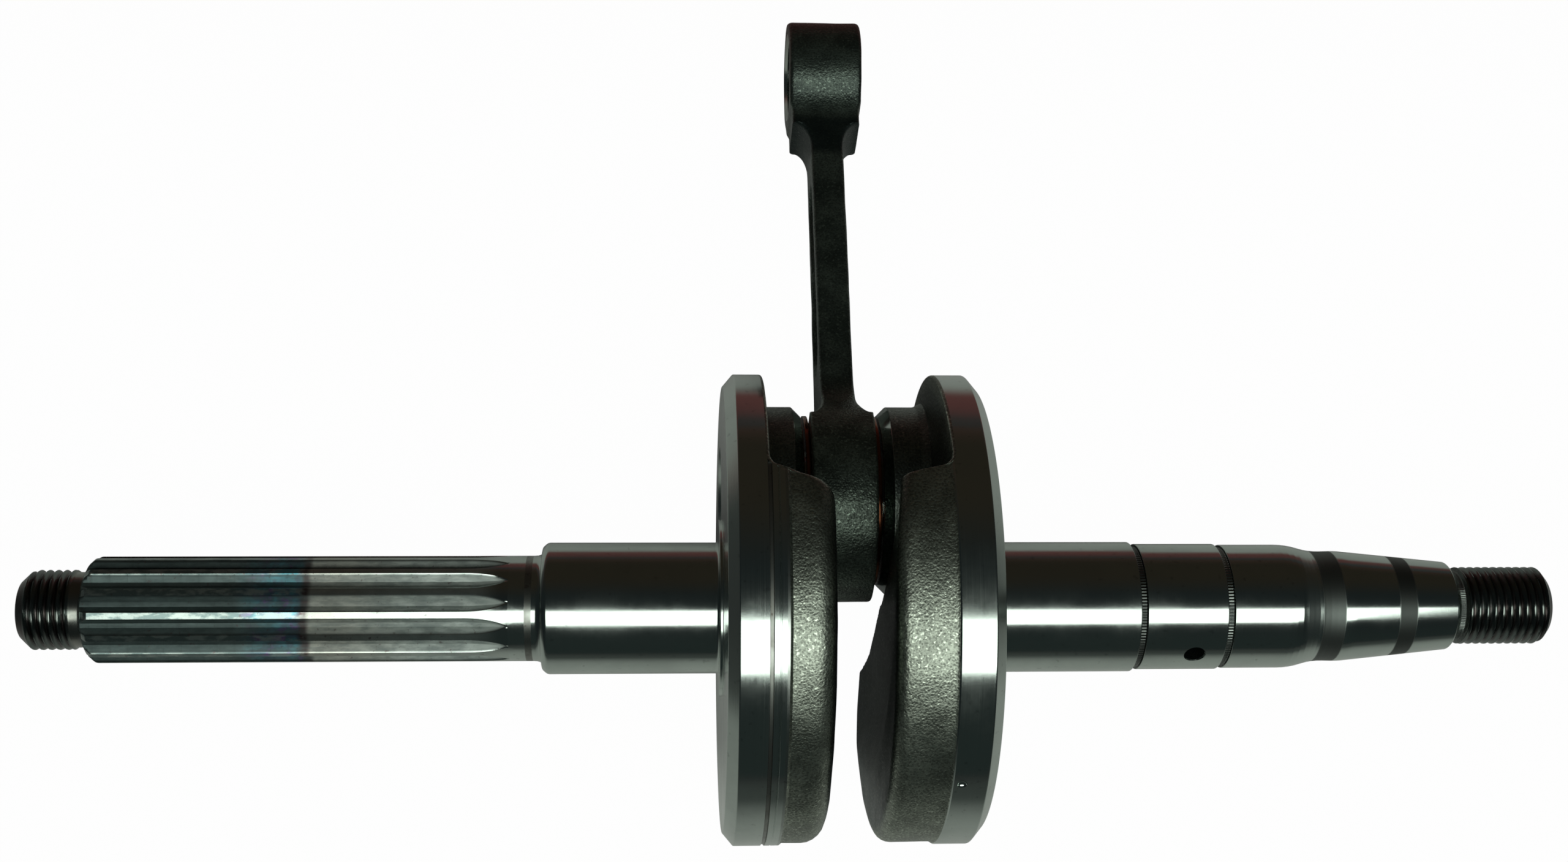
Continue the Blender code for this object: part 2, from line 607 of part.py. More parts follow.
def make_needles(frame, material):
    half = NEEDLE_LENGTH / 2
    for k in range(NEEDLE_COUNT):
        angle = tau * k / NEEDLE_COUNT
        place = (0.0, -NEEDLE_CIRCLE * sin(angle), NEEDLE_CIRCLE * cos(angle))
        name = f"needle_roller_{k + 1:02d}"
        make_object(name, rod_of(-half, half, NEEDLE_RADIUS, ROLLER_SIDES), frame, material, place)


def make_washers(frame, material):
    half = WASHER_THICKNESS / 2
    for name, side in (("thrust_washer_drive", -1), ("thrust_washer_ignition", 1)):
        ring = tube(-half, half, WASHER_DIAMETER / 2, PIN_RADIUS + RUNNING_GAP)
        make_object(name, ring, frame, material, (side * WASHER_PLACE, 0.0, 0.0))


def main():
    clear_scene()
    forged_steel = make_material("forged_steel", (0.36, 0.36, 0.37), 0.38)
    ground_steel = make_material("ground_steel", (0.62, 0.62, 0.63), 0.18)
    rod_steel = make_material("rod_steel", (0.17, 0.17, 0.18), 0.5)
    cage_steel = make_material("cage_steel", (0.5, 0.48, 0.44), 0.35)
    copper = make_material("copper_washer", (0.72, 0.38, 0.22), 0.35)
    crank_axis = make_empty("crank_axis", turn=-pi / 2 - THROW_DIP)
    pin_axis = make_empty("pin_axis", crank_axis, (0.0, 0.0, THROW))
    rod_axis = make_empty("rod_axis", pin_axis, turn=THROW_DIP - ROD_DIP)
    make_drive_half(crank_axis, forged_steel)
    make_ignition_half(crank_axis, forged_steel)
    make_crank_pin(pin_axis, ground_steel)
    make_connecting_rod(rod_axis, rod_steel)
    make_cage(pin_axis, cage_steel)
    make_needles(pin_axis, ground_steel)
    make_washers(pin_axis, copper)


main()
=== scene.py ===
"""Fine surfaces, finishes and studio of a built-up crankshaft.

Laid out as an add-on and run as a script. Each operator makes one piece, or one group of like pieces, round
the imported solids. Lengths are in metres, and the crank axis is the X axis.
"""

import json
from collections import namedtuple
from math import atan2, cos, hypot, pi, radians, sin, sqrt, tan, tau

import bmesh
import bpy
import numpy as np
from mathutils import Matrix, Vector


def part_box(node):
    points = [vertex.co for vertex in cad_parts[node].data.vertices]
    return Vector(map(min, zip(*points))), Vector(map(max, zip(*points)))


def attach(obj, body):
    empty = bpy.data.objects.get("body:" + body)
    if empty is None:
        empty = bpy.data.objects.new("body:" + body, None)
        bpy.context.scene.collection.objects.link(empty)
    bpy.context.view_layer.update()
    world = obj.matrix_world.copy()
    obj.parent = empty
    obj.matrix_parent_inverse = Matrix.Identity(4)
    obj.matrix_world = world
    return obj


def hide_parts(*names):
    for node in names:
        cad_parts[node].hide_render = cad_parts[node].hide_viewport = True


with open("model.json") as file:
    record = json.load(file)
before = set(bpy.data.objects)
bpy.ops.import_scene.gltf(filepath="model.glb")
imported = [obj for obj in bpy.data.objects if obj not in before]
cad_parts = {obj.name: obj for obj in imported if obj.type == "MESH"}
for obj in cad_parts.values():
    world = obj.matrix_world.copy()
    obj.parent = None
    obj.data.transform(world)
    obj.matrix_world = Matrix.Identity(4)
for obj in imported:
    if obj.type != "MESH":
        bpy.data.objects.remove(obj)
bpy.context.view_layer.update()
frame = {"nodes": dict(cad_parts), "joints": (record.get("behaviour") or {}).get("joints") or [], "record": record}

bl_info = {
    "name": "Crankshaft looks",
    "version": (1, 0, 0),
    "blender": (4, 5, 0),
    "location": "3D View > Sidebar > Crankshaft",
    "description": "Builds the fine surfaces and finishes of a built-up crankshaft",
    "category": "Object",
}

MM = 0.001

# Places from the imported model
JOINTS = {joint["name"]: joint for joint in frame["joints"]}
PIN = Vector(JOINTS["rod_turn"]["pos_m"])
EYE_LOW, EYE_HIGH = (Vector(corner) for corner in frame["record"]["physics"]["openings"][0]["box_m"])
EYE = (EYE_LOW + EYE_HIGH) / 2
ROD_LENGTH = (EYE - PIN).length
THROW = hypot(PIN.y, PIN.z)
CRANK_TURN = atan2(-PIN.y, PIN.z)  # about X, from +Z to the throw
ROD_TURN = atan2(PIN.y - EYE.y, EYE.z - PIN.z)
CRANK_PLACE = Matrix.Rotation(CRANK_TURN, 4, "X")
PIN_PLACE = Matrix.Translation(PIN) @ CRANK_PLACE
ROD_PLACE = Matrix.Translation(PIN) @ Matrix.Rotation(ROD_TURN, 4, "X")
DRIVE_LOW, DRIVE_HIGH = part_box("drive_half_crank")
IGNITION_LOW, IGNITION_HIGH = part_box("ignition_half_crank")
PIN_LOW, PIN_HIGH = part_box("crank_pin")
PIN_RADIUS = (PIN_HIGH.z - PIN_LOW.z) / 2
WASHER_LOW, WASHER_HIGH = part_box("thrust_washer_drive")
CAGE_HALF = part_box("big_end_cage")[1].x
NEEDLE_LOW, NEEDLE_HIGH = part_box("needle_roller_01")
BENCH = DRIVE_LOW.z

# Inner faces of the pin bosses, from the rod's middle plane
BOSS_FACE = 6.05 * MM

# Outer radii of the rod's two ends
BIG_END_RADIUS = 16.0 * MM
EYE_RADIUS = 9.5 * MM

# Mesh fineness
ROUND_STEPS = 4
ROUND_LIMIT = 0.48  # most of a stretch that the rounding of one corner may take
BORE_SIDES = 128
SMOOTH_ANGLE = radians(34.0)
WELD = 1e-7
HOLD = 0.05 * MM
SPACING = {"thread": 0.156 * MM, "spline": 6.0 * MM, "runout": 0.36 * MM, "plain": 0.36 * MM}

# The finishes of the half cranks' faces with their materials, and the finishes that share one
MATERIAL_OF = {
    "ground": "ground_journal",
    "turned": "turned_rim",
    "forged": "forged_weight",
    "spline": "milled_splines",
    "thread": "cut_thread",
    "taper": "ground_taper",
    "knurl": "groove_floor",
}
FINISHES = tuple(MATERIAL_OF)
FINISH_OF = {"runout": "spline", "plain": "ground", "neck": "thread"}


def mm(*values):
    """Lengths in metres, from millimetres."""
    return tuple(value * MM for value in values)


def length(label, text, millimetres):
    return bpy.props.FloatProperty(
        name=label, description=text, default=millimetres * MM, unit="LENGTH", precision=5)


def colour(label, text, value):
    return bpy.props.FloatVectorProperty(
        name=label, description=text, default=value, subtype="COLOR", min=0, max=1)


def number(label, text, value):
    return bpy.props.FloatProperty(name=label, description=text, default=value, precision=4)


class CrankSizes(bpy.types.PropertyGroup):
    """Sizes of the fine forms."""

    thread_pitch: length("Thread pitch", "Axial step of both threads", 1.25)
    thread_depth: length("Thread depth", "Radial depth of both threads", 0.46)
    thread_radius: length("Thread radius", "Outer radius of both threads", 6.0)
    spline_count: bpy.props.IntProperty(
        name="Splines", description="Grooves round the drive shaft", default=14)
    spline_radius: length("Spline radius", "Radius of the lands", 8.0)
    spline_depth: length("Spline depth", "Depth of the grooves", 1.0)
    spline_land: length("Land width", "Width left between two grooves", 0.95)
    spline_floor: length("Floor width", "Flat width of a groove's floor", 0.8)
    spline_phase: bpy.props.FloatProperty(
        name="Spline phase", description="First groove, about the axis from the throw", default=radians(6.8),
        subtype="ANGLE")
    web_radius: length("Web radius", "Radius of the turned rims", 35.8)
    forged_step: length("Forged step", "The forged rim lies this far below the turned one", 0.35)
    drive_edge: length("Drive weight's edge", "Rounding of the drive-side counterweight's edge", 3.3)
    ignition_edge: length("Ignition weight's edge", "Rounding of the ignition-side counterweight's edge", 2.2)
    plate_edge: length("Plate edge", "Rounding of the plain web's inner edge", 0.45)
    weight_round: length("Counterweight rounding", "Rounding along the counterweight's upper edge", 2.6)
    weight_fillet: length("Counterweight fillet", "Fillet between the counterweight and the web", 2.4)
    boss_radius: length("Pin boss radius", "Radius of the bosses round the crank pin", 14.9)
    boss_chamfer: length("Pin boss chamfer", "Chamfer of the bosses", 1.5)
    boss_fillet: length("Pin boss fillet", "Fillet between a boss and its web", 1.2)
    rod_relief: length("Rod relief", "Room cut round the big end", 1.0)
    grain_depth: length("Grain depth", "Height of the forged skin's grain", 0.03)
    grain_size: length("Grain size", "Width of the forged skin's grain", 3.4)
    lump_depth: length("Lump depth", "Height of the forged skin's slow waves", 0.11)
    lump_size: length("Lump size", "Width of the forged skin's slow waves", 9.0)


class CrankColours(bpy.types.PropertyGroup):
    """Colours of the finishes."""

    steel: colour("Steel", "Ground and turned steel", (0.535, 0.60, 0.56))
    forged: colour("Forged skin", "Blasted skin of the counterweights", (0.30, 0.335, 0.28))
    rod: colour("Rod", "Dark skin of the connecting rod", (0.117, 0.147, 0.12))
    copper: colour("Copper", "Thrust washers", (0.21, 0.075, 0.036))
    cage: colour("Cage", "Plated bearing cage", (0.52, 0.50, 0.45))
    scale: colour("Heat scale", "Splines at the hot end", (0.135, 0.18, 0.175))
    blue: colour("Blue tint", "Blue band of the heat tint", (0.10, 0.175, 0.24))
    brown: colour("Brown tint", "Brown line of the heat tint", (0.10, 0.06, 0.06))
    straw: colour("Straw tint", "Straw end of the heat tint", (0.44, 0.45, 0.40))


class CrankStudio(bpy.types.PropertyGroup):
    """Light of the studio."""

    softbox: number("Softbox", "Radiance of the overhead softbox", 3.4)
    softbox_length: length("Softbox length", "Along the crank", 830.0)
    softbox_width: length("Softbox width", "Across the crank", 315.0)
    room: number("Room", "Level of the dim room", 0.018)
    floor: colour("Floor", "Pale floor", (0.66, 0.66, 0.64))


class Field:
    """A node's output that takes part in plain arithmetic."""

    def __init__(self, graph, socket):
        self.graph = graph
        self.socket = socket

    def math(self, operation, *others):
        return self.graph.math(operation, self, *others)

    def __add__(self, other):
        return self.math("ADD", other)

    def __sub__(self, other):
        return self.math("SUBTRACT", other)

    def __rsub__(self, other):
        return self.graph.math("SUBTRACT", other, self)

    def __mul__(self, other):
        return self.math("MULTIPLY", other)

    def __truediv__(self, other):
        return self.math("DIVIDE", other)

    def __rtruediv__(self, other):
        return self.graph.math("DIVIDE", other, self)

    def __neg__(self):
        return self.math("MULTIPLY", -1.0)

    __radd__ = __add__
    __rmul__ = __mul__

    def between(self, low, high):
        """Rises smoothly from 0 at low to 1 at high."""
        inputs = {"Value": self, "From Min": low, "From Max": high}
        return self.graph.make("ShaderNodeMapRange", inputs, interpolation_type="SMOOTHSTEP")

    def band(self, rise, fall):
        """Is 1 between a rising and a falling edge, each given by its two ends."""
        return self.between(*rise) - self.between(*fall)

    def clamped(self):
        return self.graph.make("ShaderNodeClamp", {"Value": self})


class Graph:
    """A node tree that is built by plain calls."""

    def __init__(self, tree):
        self.tree = tree

    def node(self, kind, **settings):
        node = self.tree.nodes.new(kind)
        for name, value in settings.items():
            setattr(node, name, value)
        return node

    def feed(self, socket, value):
        if isinstance(value, Field):
            self.tree.links.new(value.socket, socket)
        elif isinstance(value, bpy.types.NodeSocket):
            self.tree.links.new(value, socket)
        else:
            socket.default_value = value

    def make(self, kind, inputs, output=0, **settings):
        """A node with its inputs fed by name or number, as the Field of one output."""
        node = self.node(kind, **settings)
        for name, value in inputs.items():
            self.feed(node.inputs[name], value)
        return Field(self, node.outputs[output])

    def math(self, operation, *values):
        return self.make("ShaderNodeMath", dict(enumerate(values)), operation=operation)

    def vector(self, operation, first, second, output=0):
        return self.make("ShaderNodeVectorMath", {0: first, 1: second}, output, operation=operation)

    def mix(self, share, first, second):
        inputs = {0: share, 6: first, 7: second}
        return self.make("ShaderNodeMix", inputs, 2, data_type="RGBA")

    def coated(self, tone, *coats):
        """A tone with coats (share, colour) laid over it, one after another."""
        for share, paint in coats:
            tone = self.mix(share, tone, paint)
        return tone

    def split(self, vector):
        node = self.node("ShaderNodeSeparateXYZ")
        self.feed(node.inputs[0], vector)
        return [Field(self, socket) for socket in node.outputs]

    def noise(self, inputs, dimensions="3D"):
        return self.make("ShaderNodeTexNoise", inputs, noise_dimensions=dimensions)

    def group_inputs(self, kinds, defaults):
        """Makes the tree's inputs from {name: kind}, and gives each as a Field."""
        for name, kind in kinds.items():
            socket = self.tree.interface.new_socket(name, in_out="INPUT", socket_type="NodeSocket" + kind)
            if name in defaults:
                socket.default_value = defaults[name]
        node = self.node("NodeGroupInput")
        return {name: Field(self, node.outputs[name]) for name in kinds}

    def group_outputs(self, outputs, kind="Float"):
        for name in outputs:
            self.tree.interface.new_socket(name, in_out="OUTPUT", socket_type="NodeSocket" + kind)
        node = self.node("NodeGroupOutput")
        for name, value in outputs.items():
            self.feed(node.inputs[name], value)


def rounded(corners):
    """A finer outline from corners (along, radius, rounding, finish), each with its rounding made."""
    points = []
    for i, (along, radius, rounding, finish) in enumerate(corners):
        here = Vector((along, radius))
        if not rounding or i in (0, len(corners) - 1):
            points.append((along, radius, finish))
            continue
        before = Vector(corners[i - 1][:2]) - here
        after = Vector(corners[i + 1][:2]) - here
        reach = rounding / tan(before.angle(after) / 2)
        start = here + before.normalized() * min(reach, ROUND_LIMIT * before.length)
        end = here + after.normalized() * min(reach, ROUND_LIMIT * after.length)
        for k in range(ROUND_STEPS + 1):
            t = k / ROUND_STEPS
            point = start * (1 - t) ** 2 + here * 2 * t * (1 - t) + end * t * t
            points.append((point.x, point.y, finish if t > 0.5 else corners[i - 1][3]))
    return points


def subdivided(points):
    """Adds points on the stretches whose finish needs close rings, and by the ends of the long ones."""
    fine = []
    for (along, radius, finish), (next_along, next_radius, _) in zip(points, points[1:]):
        reach = hypot(next_along - along, next_radius - radius)
        count = max(1, round(reach / SPACING.get(finish, reach))) if reach else 1
        shares = {k / count for k in range(count)}
        if reach / count > 10 * HOLD:
            shares |= {HOLD / reach, 1.0 - HOLD / reach}
        for t in sorted(shares):
            fine.append((along + (next_along - along) * t, radius + (next_radius - radius) * t, finish))
    return fine + [points[-1]]


def plain_rings(points):
    """Rings of a turned outline, without forged skin."""
    return [(*point, 0.0) for point in subdivided(points)]


def smooth(value, start, span):
    """Rises smoothly from 0 at start to 1 after a span."""
    share = np.clip((value - start) / span, 0.0, 1.0)
    return share * share * (3.0 - 2.0 * share)


def in_metres(rows, start=0.0):
    """Corners in metres from rows in millimetres, counted from a place along the axis."""
    return [(start + along * MM, *mm(radius, rounding), finish) for along, radius, rounding, finish in rows]


def ring_mesh(name, rings, angles, side, place):
    """A closed skin of rings (along, radius, finish, skin) about the X axis, whose ends lie on the axis."""
    columns = angles.shape[-1]
    along, radius = (np.array([np.broadcast_to(ring[k], columns) for ring in rings]) for k in (0, 1))
    points = np.stack([side * along, -radius * np.sin(angles), radius * np.cos(angles)], axis=-1)
    return grid_mesh(name, points, [ring[2] for ring in rings], [ring[3] for ring in rings], place)


def grid_mesh(name, points, finishes, skins, place):
    """Quads between rows of points; each row is a ring, and the skin weights say where it is forged."""
    rows, columns = points.shape[:2]
    turn = np.array(place.to_3x3())
    flat = points.reshape(-1, 3) @ turn.T + np.array(place.translation)
    index = np.arange(rows * columns).reshape(rows, columns)
    after = np.roll(index, -1, axis=1)
    quads = np.stack([index[:-1], after[:-1], after[1:], index[1:]], axis=-1).reshape(-1, 4)
    mesh = bpy.data.meshes.new(name)
    mesh.from_pydata(flat.tolist(), [], quads.tolist())
    kinds = np.repeat([FINISHES.index(FINISH_OF.get(f, f)) for f in finishes[:-1]], columns).astype(np.int32)
    mesh.attributes.new("finish", "INT", "FACE").data.foreach_set("value", kinds)
    mesh.polygons.foreach_set("material_index", kinds)
    weights = {
        "skin": np.concatenate([np.broadcast_to(s, columns) for s in skins]),
        "thread": np.repeat([float(f == "thread") for f in finishes], columns),
        "spline": np.repeat([float(f in ("spline", "runout")) for f in finishes], columns),
    }
    for key, values in weights.items():
        mesh.attributes.new(key, "FLOAT", "POINT").data.foreach_set("value", values.astype(np.float32))
    closed = bmesh.new()
    closed.from_mesh(mesh)
    bmesh.ops.remove_doubles(closed, verts=closed.verts, dist=WELD)
    bmesh.ops.recalc_face_normals(closed, faces=closed.faces)
    closed.to_mesh(mesh)
    closed.free()
    return mesh


def spun_mesh(name, points, place, sides=BORE_SIDES, side=1):
    angles = np.arange(sides) * tau / sides
    return ring_mesh(name, plain_rings(points), angles, side, place)


def turned_mesh(name, corners, place, sides=BORE_SIDES, side=1):
    """A form turned from an outline whose ends lie on the axis."""
    return spun_mesh(name, rounded(corners), place, sides, side)


def flat_ring(name, low, high, bore, outer, edge):
    """A ring about the crank pin, with rounded edges."""
    outline = ((low, bore), (low, outer), (high, outer), (high, bore))
    corners = [(along, radius, edge, "turned") for along, radius in outline]
    points = rounded([corners[-1], *corners, corners[0]])[1:-1]
    return spun_mesh(name, points + points[:1], PIN_PLACE)


def new_object(name, mesh):
    piece = bpy.data.objects.new(name, mesh)
    bpy.context.scene.collection.objects.link(piece)
    return piece


def plain_piece(name, mesh, material):
    """A piece of one material."""
    mesh.materials.append(material)
    mesh.polygons.foreach_set("material_index", np.zeros(len(mesh.polygons), np.int32))
    return new_object(name, mesh)


def baked(piece):
    """Turns a piece's modifiers into plain mesh."""
    bpy.context.view_layer.update()
    graph = bpy.context.evaluated_depsgraph_get()
    mesh = bpy.data.meshes.new_from_object(piece.evaluated_get(graph))
    piece.modifiers.clear()
    old = piece.data
    piece.data = mesh
    mesh.name = piece.name
    bpy.data.meshes.remove(old)


def combined(piece, tool_mesh, operation):
    """Adds or cuts a closed tool, and removes the tool."""
    if not tool_mesh.materials:
        for material in piece.data.materials:
            tool_mesh.materials.append(material)
    tool = new_object(tool_mesh.name, tool_mesh)
    modifier = piece.modifiers.new(tool.name, "BOOLEAN")
    modifier.operation = operation
    modifier.solver = "MANIFOLD"
    modifier.object = tool
    baked(piece)
    bpy.data.objects.remove(tool)
    bpy.data.meshes.remove(tool_mesh)


def run_tree(piece, tree, values):
    """Runs a geometry tree on a piece with its inputs set by name, and keeps the result as plain mesh."""
    modifier = piece.modifiers.new(tree.name, "NODES")
    modifier.node_group = tree
    for socket in tree.interface.items_tree:
        if socket.in_out == "INPUT" and socket.name in values:
            modifier[socket.identifier] = values[socket.name]
    baked(piece)


def finished(piece, body, node):
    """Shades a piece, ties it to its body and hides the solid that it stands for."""
    piece.data.shade_smooth()
    piece.data.set_sharp_from_angle(angle=SMOOTH_ANGLE)
    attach(piece, body)
    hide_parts(node)


# Geometry trees


def attribute(graph, name):
    return graph.make("GeometryNodeInputNamedAttribute", {"Name": name}, data_type="FLOAT")


def geometry_tree(name, kinds):
    """A new geometry tree with its named inputs."""
    graph = Graph(bpy.data.node_groups.new(name, "GeometryNodeTree"))
    return graph, graph.group_inputs({"Geometry": "Geometry", **kinds}, {})


def closed_tree(graph, geometry, materials):
    """Ends a tree: real mesh, its materials (selection, material) and the output."""
    result = graph.make("GeometryNodeRealizeInstances", {"Geometry": geometry})
    for selection, material in materials:
        inputs = {"Geometry": result, "Selection": selection, "Material": material}
        result = graph.make("GeometryNodeSetMaterial", inputs)
    graph.group_outputs({"Geometry": result}, "Geometry")
    return graph.tree


def distance(across, up):
    """How far a point lies from the crank axis."""
    return (across * across + up * up).math("SQRT")


# Share of a thread's height that is cut flat at its crest, and again at its root
THREAD_FLAT = 0.14


def thread_limit(sizes, along, angle):
    """Radius of a right-hand thread's surface, from a wave that climbs one pitch a turn."""
    wave = (along / sizes["Thread Pitch"] - angle / tau).math("FRACT")
    height = 1.0 - (wave - 0.5).math("ABSOLUTE") * 2.0
    ridge = ((height - THREAD_FLAT) / (1.0 - 2.0 * THREAD_FLAT)).clamped()
    return sizes["Thread Radius"] - sizes["Thread Depth"] * (1.0 - ridge)


def spline_cut(sizes, along, angle):
    """Share of the full groove depth, which runs out to a point at each groove's inner end."""
    pitch = tau / sizes["Spline Count"]
    offset = (angle - sizes["Spline Phase"]).math("WRAP", pitch * 0.5, pitch * -0.5).math("ABSOLUTE")
    share = ((along - sizes["Run-out Start"]) / sizes["Run-out Length"]).clamped()
    left = 1.0 - share * share
    half_open = (pitch - sizes["Land"] / sizes["Spline Radius"]) * 0.5 * left.math("POWER", 0.75)
    half_floor = sizes["Floor"] / sizes["Spline Radius"] * 0.5 * left
    flank = ((half_open - offset) / (half_open - half_floor + 1e-5)).clamped()
    return flank * left


def crank_surface_tree():
    """Cuts the threads and splines, raises the forged skin and sets the finishes."""
    lengths = (
        "Thread Pitch", "Thread Depth", "Thread Radius", "Spline Count", "Spline Phase", "Spline Depth",
        "Spline Radius", "Land", "Floor", "Run-out Start", "Run-out Length", "Grain Depth", "Grain Size",
        "Lump Depth", "Lump Size")
    kinds = {**dict.fromkeys(lengths, "Float"), **dict.fromkeys(FINISHES, "Material")}
    graph, sizes = geometry_tree("crank_surface", kinds)
    position = graph.make("GeometryNodeInputPosition", {})
    along, across, up = graph.split(position)
    radius = distance(across, up)
    angle = (-across).math("ARCTAN2", up)
    spline, thread = attribute(graph, "spline"), attribute(graph, "thread")
    cut = spline_cut(sizes, along, angle) * spline
    stored = graph.make("GeometryNodeStoreNamedAttribute", {
        "Geometry": sizes["Geometry"], "Name": "groove", "Value": cut}, data_type="FLOAT", domain="POINT")
    lowered = radius.math("MINIMUM", sizes["Spline Radius"] - sizes["Spline Depth"] * cut)
    splined = radius + (lowered - radius) * spline
    threaded = splined.math("MINIMUM", thread_limit(sizes, along, angle))
    share = (splined + (threaded - splined) * thread) / radius.math("MAXIMUM", 1e-9)
    place = graph.make("ShaderNodeCombineXYZ", {0: along, 1: across * share, 2: up * share})
    worked = (spline + thread).math("GREATER_THAN", 0.5)
    shaped = graph.make("GeometryNodeSetPosition", {
        "Geometry": stored, "Selection": worked, "Position": place})
    grain = graph.noise({"Vector": position, "Scale": 1.0 / sizes["Grain Size"], "Detail": 2.0})
    lumps = graph.noise({"Vector": position, "Scale": 1.0 / sizes["Lump Size"], "Detail": 1.0})
    height = (grain - 0.5) * 2.0 * sizes["Grain Depth"] + (lumps - 0.5) * 2.0 * sizes["Lump Depth"]
    lift = {0: graph.make("GeometryNodeInputNormal", {}), "Scale": height * attribute(graph, "skin")}
    lift = graph.make("ShaderNodeVectorMath", lift, operation="SCALE")
    skinned = graph.make("GeometryNodeSetPosition", {"Geometry": shaped, "Offset": lift})
    finish = attribute(graph, "finish")
    chosen = [(finish.math("COMPARE", float(k), 0.1), sizes[name]) for k, name in enumerate(FINISHES)]
    return closed_tree(graph, skinned, chosen)


def needle_tree():
    """One roller along X with rounded ends, swept along a line whose section shrinks at both ends."""
    kinds = {"Length": "Float", "Radius": "Float", "End": "Float", "Centre": "Vector", "Finish": "Material"}
    graph, given = geometry_tree("needle_roller", kinds)
    half = given["Length"] * 0.5
    start = graph.make("ShaderNodeCombineXYZ", {0: -half})
    end = graph.make("ShaderNodeCombineXYZ", {0: half})
    line = graph.make("GeometryNodeCurvePrimitiveLine", {"Start": start, "End": end})
    line = graph.make("GeometryNodeResampleCurve", {"Curve": line, "Count": 49})
    along = graph.split(graph.make("GeometryNodeInputPosition", {}))[0]
    rounding = given["End"]
    depth = (rounding - (half - along.math("ABSOLUTE"))).math("MAXIMUM", 0.0)
    fall = rounding - (rounding * rounding - depth * depth).math("MAXIMUM", 0.0).math("SQRT")
    circle = graph.make("GeometryNodeCurvePrimitiveCircle", {"Resolution": 32, "Radius": 1.0})
    roller = graph.make("GeometryNodeCurveToMesh", {
        "Curve": line, "Profile Curve": circle, "Scale": given["Radius"] - fall, "Fill Caps": True})
    moved = graph.make("GeometryNodeSetPosition", {"Geometry": roller, "Offset": given["Centre"]})
    return closed_tree(graph, moved, [(True, given["Finish"])])


def cage_tree():
    """Cuts a ring of pockets, one for each needle, out of the cage's turned blank."""
    kinds = {"Count": "Int", "Circle": "Float", "Pocket": "Vector", "Centre": "Vector", "Turn": "Float",
             "Finish": "Material"}
    graph, given = geometry_tree("cage_pockets", kinds)
    points = graph.make("GeometryNodePoints", {"Count": given["Count"]})
    index = graph.make("GeometryNodeInputIndex", {})
    angle = index * tau / given["Count"] + given["Turn"]
    spoke = graph.make("ShaderNodeCombineXYZ", {
        1: -(angle.math("SINE") * given["Circle"]), 2: angle.math("COSINE") * given["Circle"]})
    points = graph.make("GeometryNodeSetPosition", {"Geometry": points, "Position": spoke})
    block = graph.make("GeometryNodeMeshCube", {"Size": given["Pocket"]})
    spin = graph.make("ShaderNodeCombineXYZ", {0: angle})
    blocks = graph.make("GeometryNodeInstanceOnPoints", {
        "Points": points, "Instance": block, "Rotation": spin})
    blocks = graph.make("GeometryNodeRealizeInstances", {"Geometry": blocks})
    blocks = graph.make("GeometryNodeSetPosition", {"Geometry": blocks, "Offset": given["Centre"]})
    cut = graph.make("GeometryNodeMeshBoolean", {"Mesh 1": given["Geometry"], "Mesh 2": blocks},
                     operation="DIFFERENCE", solver="EXACT")
    return closed_tree(graph, cut, [(True, given["Finish"])])


# Shared surface effects


def effect(name, build, kinds, defaults):
    """A shader node group, built once and placed in each material that uses it."""
    tree = bpy.data.node_groups.get(name)
    if not tree:
        graph = Graph(bpy.data.node_groups.new(name, "ShaderNodeTree"))
        graph.group_outputs(build(graph, graph.group_inputs(kinds, defaults)))
        tree = graph.tree
    return tree


def object_place(graph):
    return graph.make("ShaderNodeTexCoord", {}, "Object")


# How far the tool's track moves on for each step away from the axis, as a share of a step along it
FACE_TRACK = 0.83


def tool_marks():
    """Fine rings left by a lathe or a grinding wheel, on cylinders and faces about one axis along X."""
    def build(graph, given):
        place = graph.vector("SUBTRACT", object_place(graph), given["Centre"])
        along, across, up = graph.split(place)
        track = (along + distance(across, up) * FACE_TRACK) / given["Pitch"]
        lines = graph.noise({"W": track, "Scale": 1.0, "Detail": 3.0, "Roughness": 0.65}, "1D")
        grain = graph.noise({"Vector": place, "Scale": 2600.0, "Detail": 1.0})
        return {"Height": lines, "Grain": grain}

    return effect("tool_marks", build, {"Pitch": "Float", "Centre": "Vector"}, {"Pitch": 0.15 * MM})


def forged_grain():
    """Blasted forging skin: close pits, a slow change of tone, dark speckle and small bright flats."""
    def build(graph, given):
        place = object_place(graph)
        scale = 1.0 / given["Size"]
        pits = graph.make("ShaderNodeTexVoronoi", {"Vector": place, "Scale": scale, "Smoothness": 0.35},
                          feature="SMOOTH_F1")
        cells = graph.noise({"Vector": place, "Scale": scale * 1.4, "Detail": 2.0, "Roughness": 0.6})
        creases = graph.noise({"Vector": place, "Scale": scale * 0.22, "Detail": 2.0, "Distortion": 1.2})
        tone = graph.noise({"Vector": place, "Scale": scale * 0.08, "Detail": 3.0})
        flats = graph.noise({"Vector": place, "Scale": scale * 0.9, "Detail": 1.0})
        skin = cells * 0.7 + pits * 0.5
        return {
            "Height": skin + creases * 0.5,
            "Tone": tone,
            "Flats": flats.between(0.58, 0.7),
            "Speckle": skin.between(0.66, 0.46),
        }

    return effect("forged_grain", build, {"Size": "Float"}, {"Size": 0.4 * MM})


def handling():
    """Smears and dark specks from handling and oil."""
    def build(graph, given):
        place = object_place(graph)
        smear = graph.noise({"Vector": place, "Scale": 1.0 / given["Size"], "Detail": 5.0, "Roughness": 0.65})
        specks = graph.noise({"Vector": place, "Scale": 14.0 / given["Size"], "Detail": 2.0})
        return {"Smear": smear.between(0.42, 0.68), "Specks": specks.between(0.66, 0.74)}

    return effect("handling", build, {"Size": "Float"}, {"Size": 14.0 * MM})


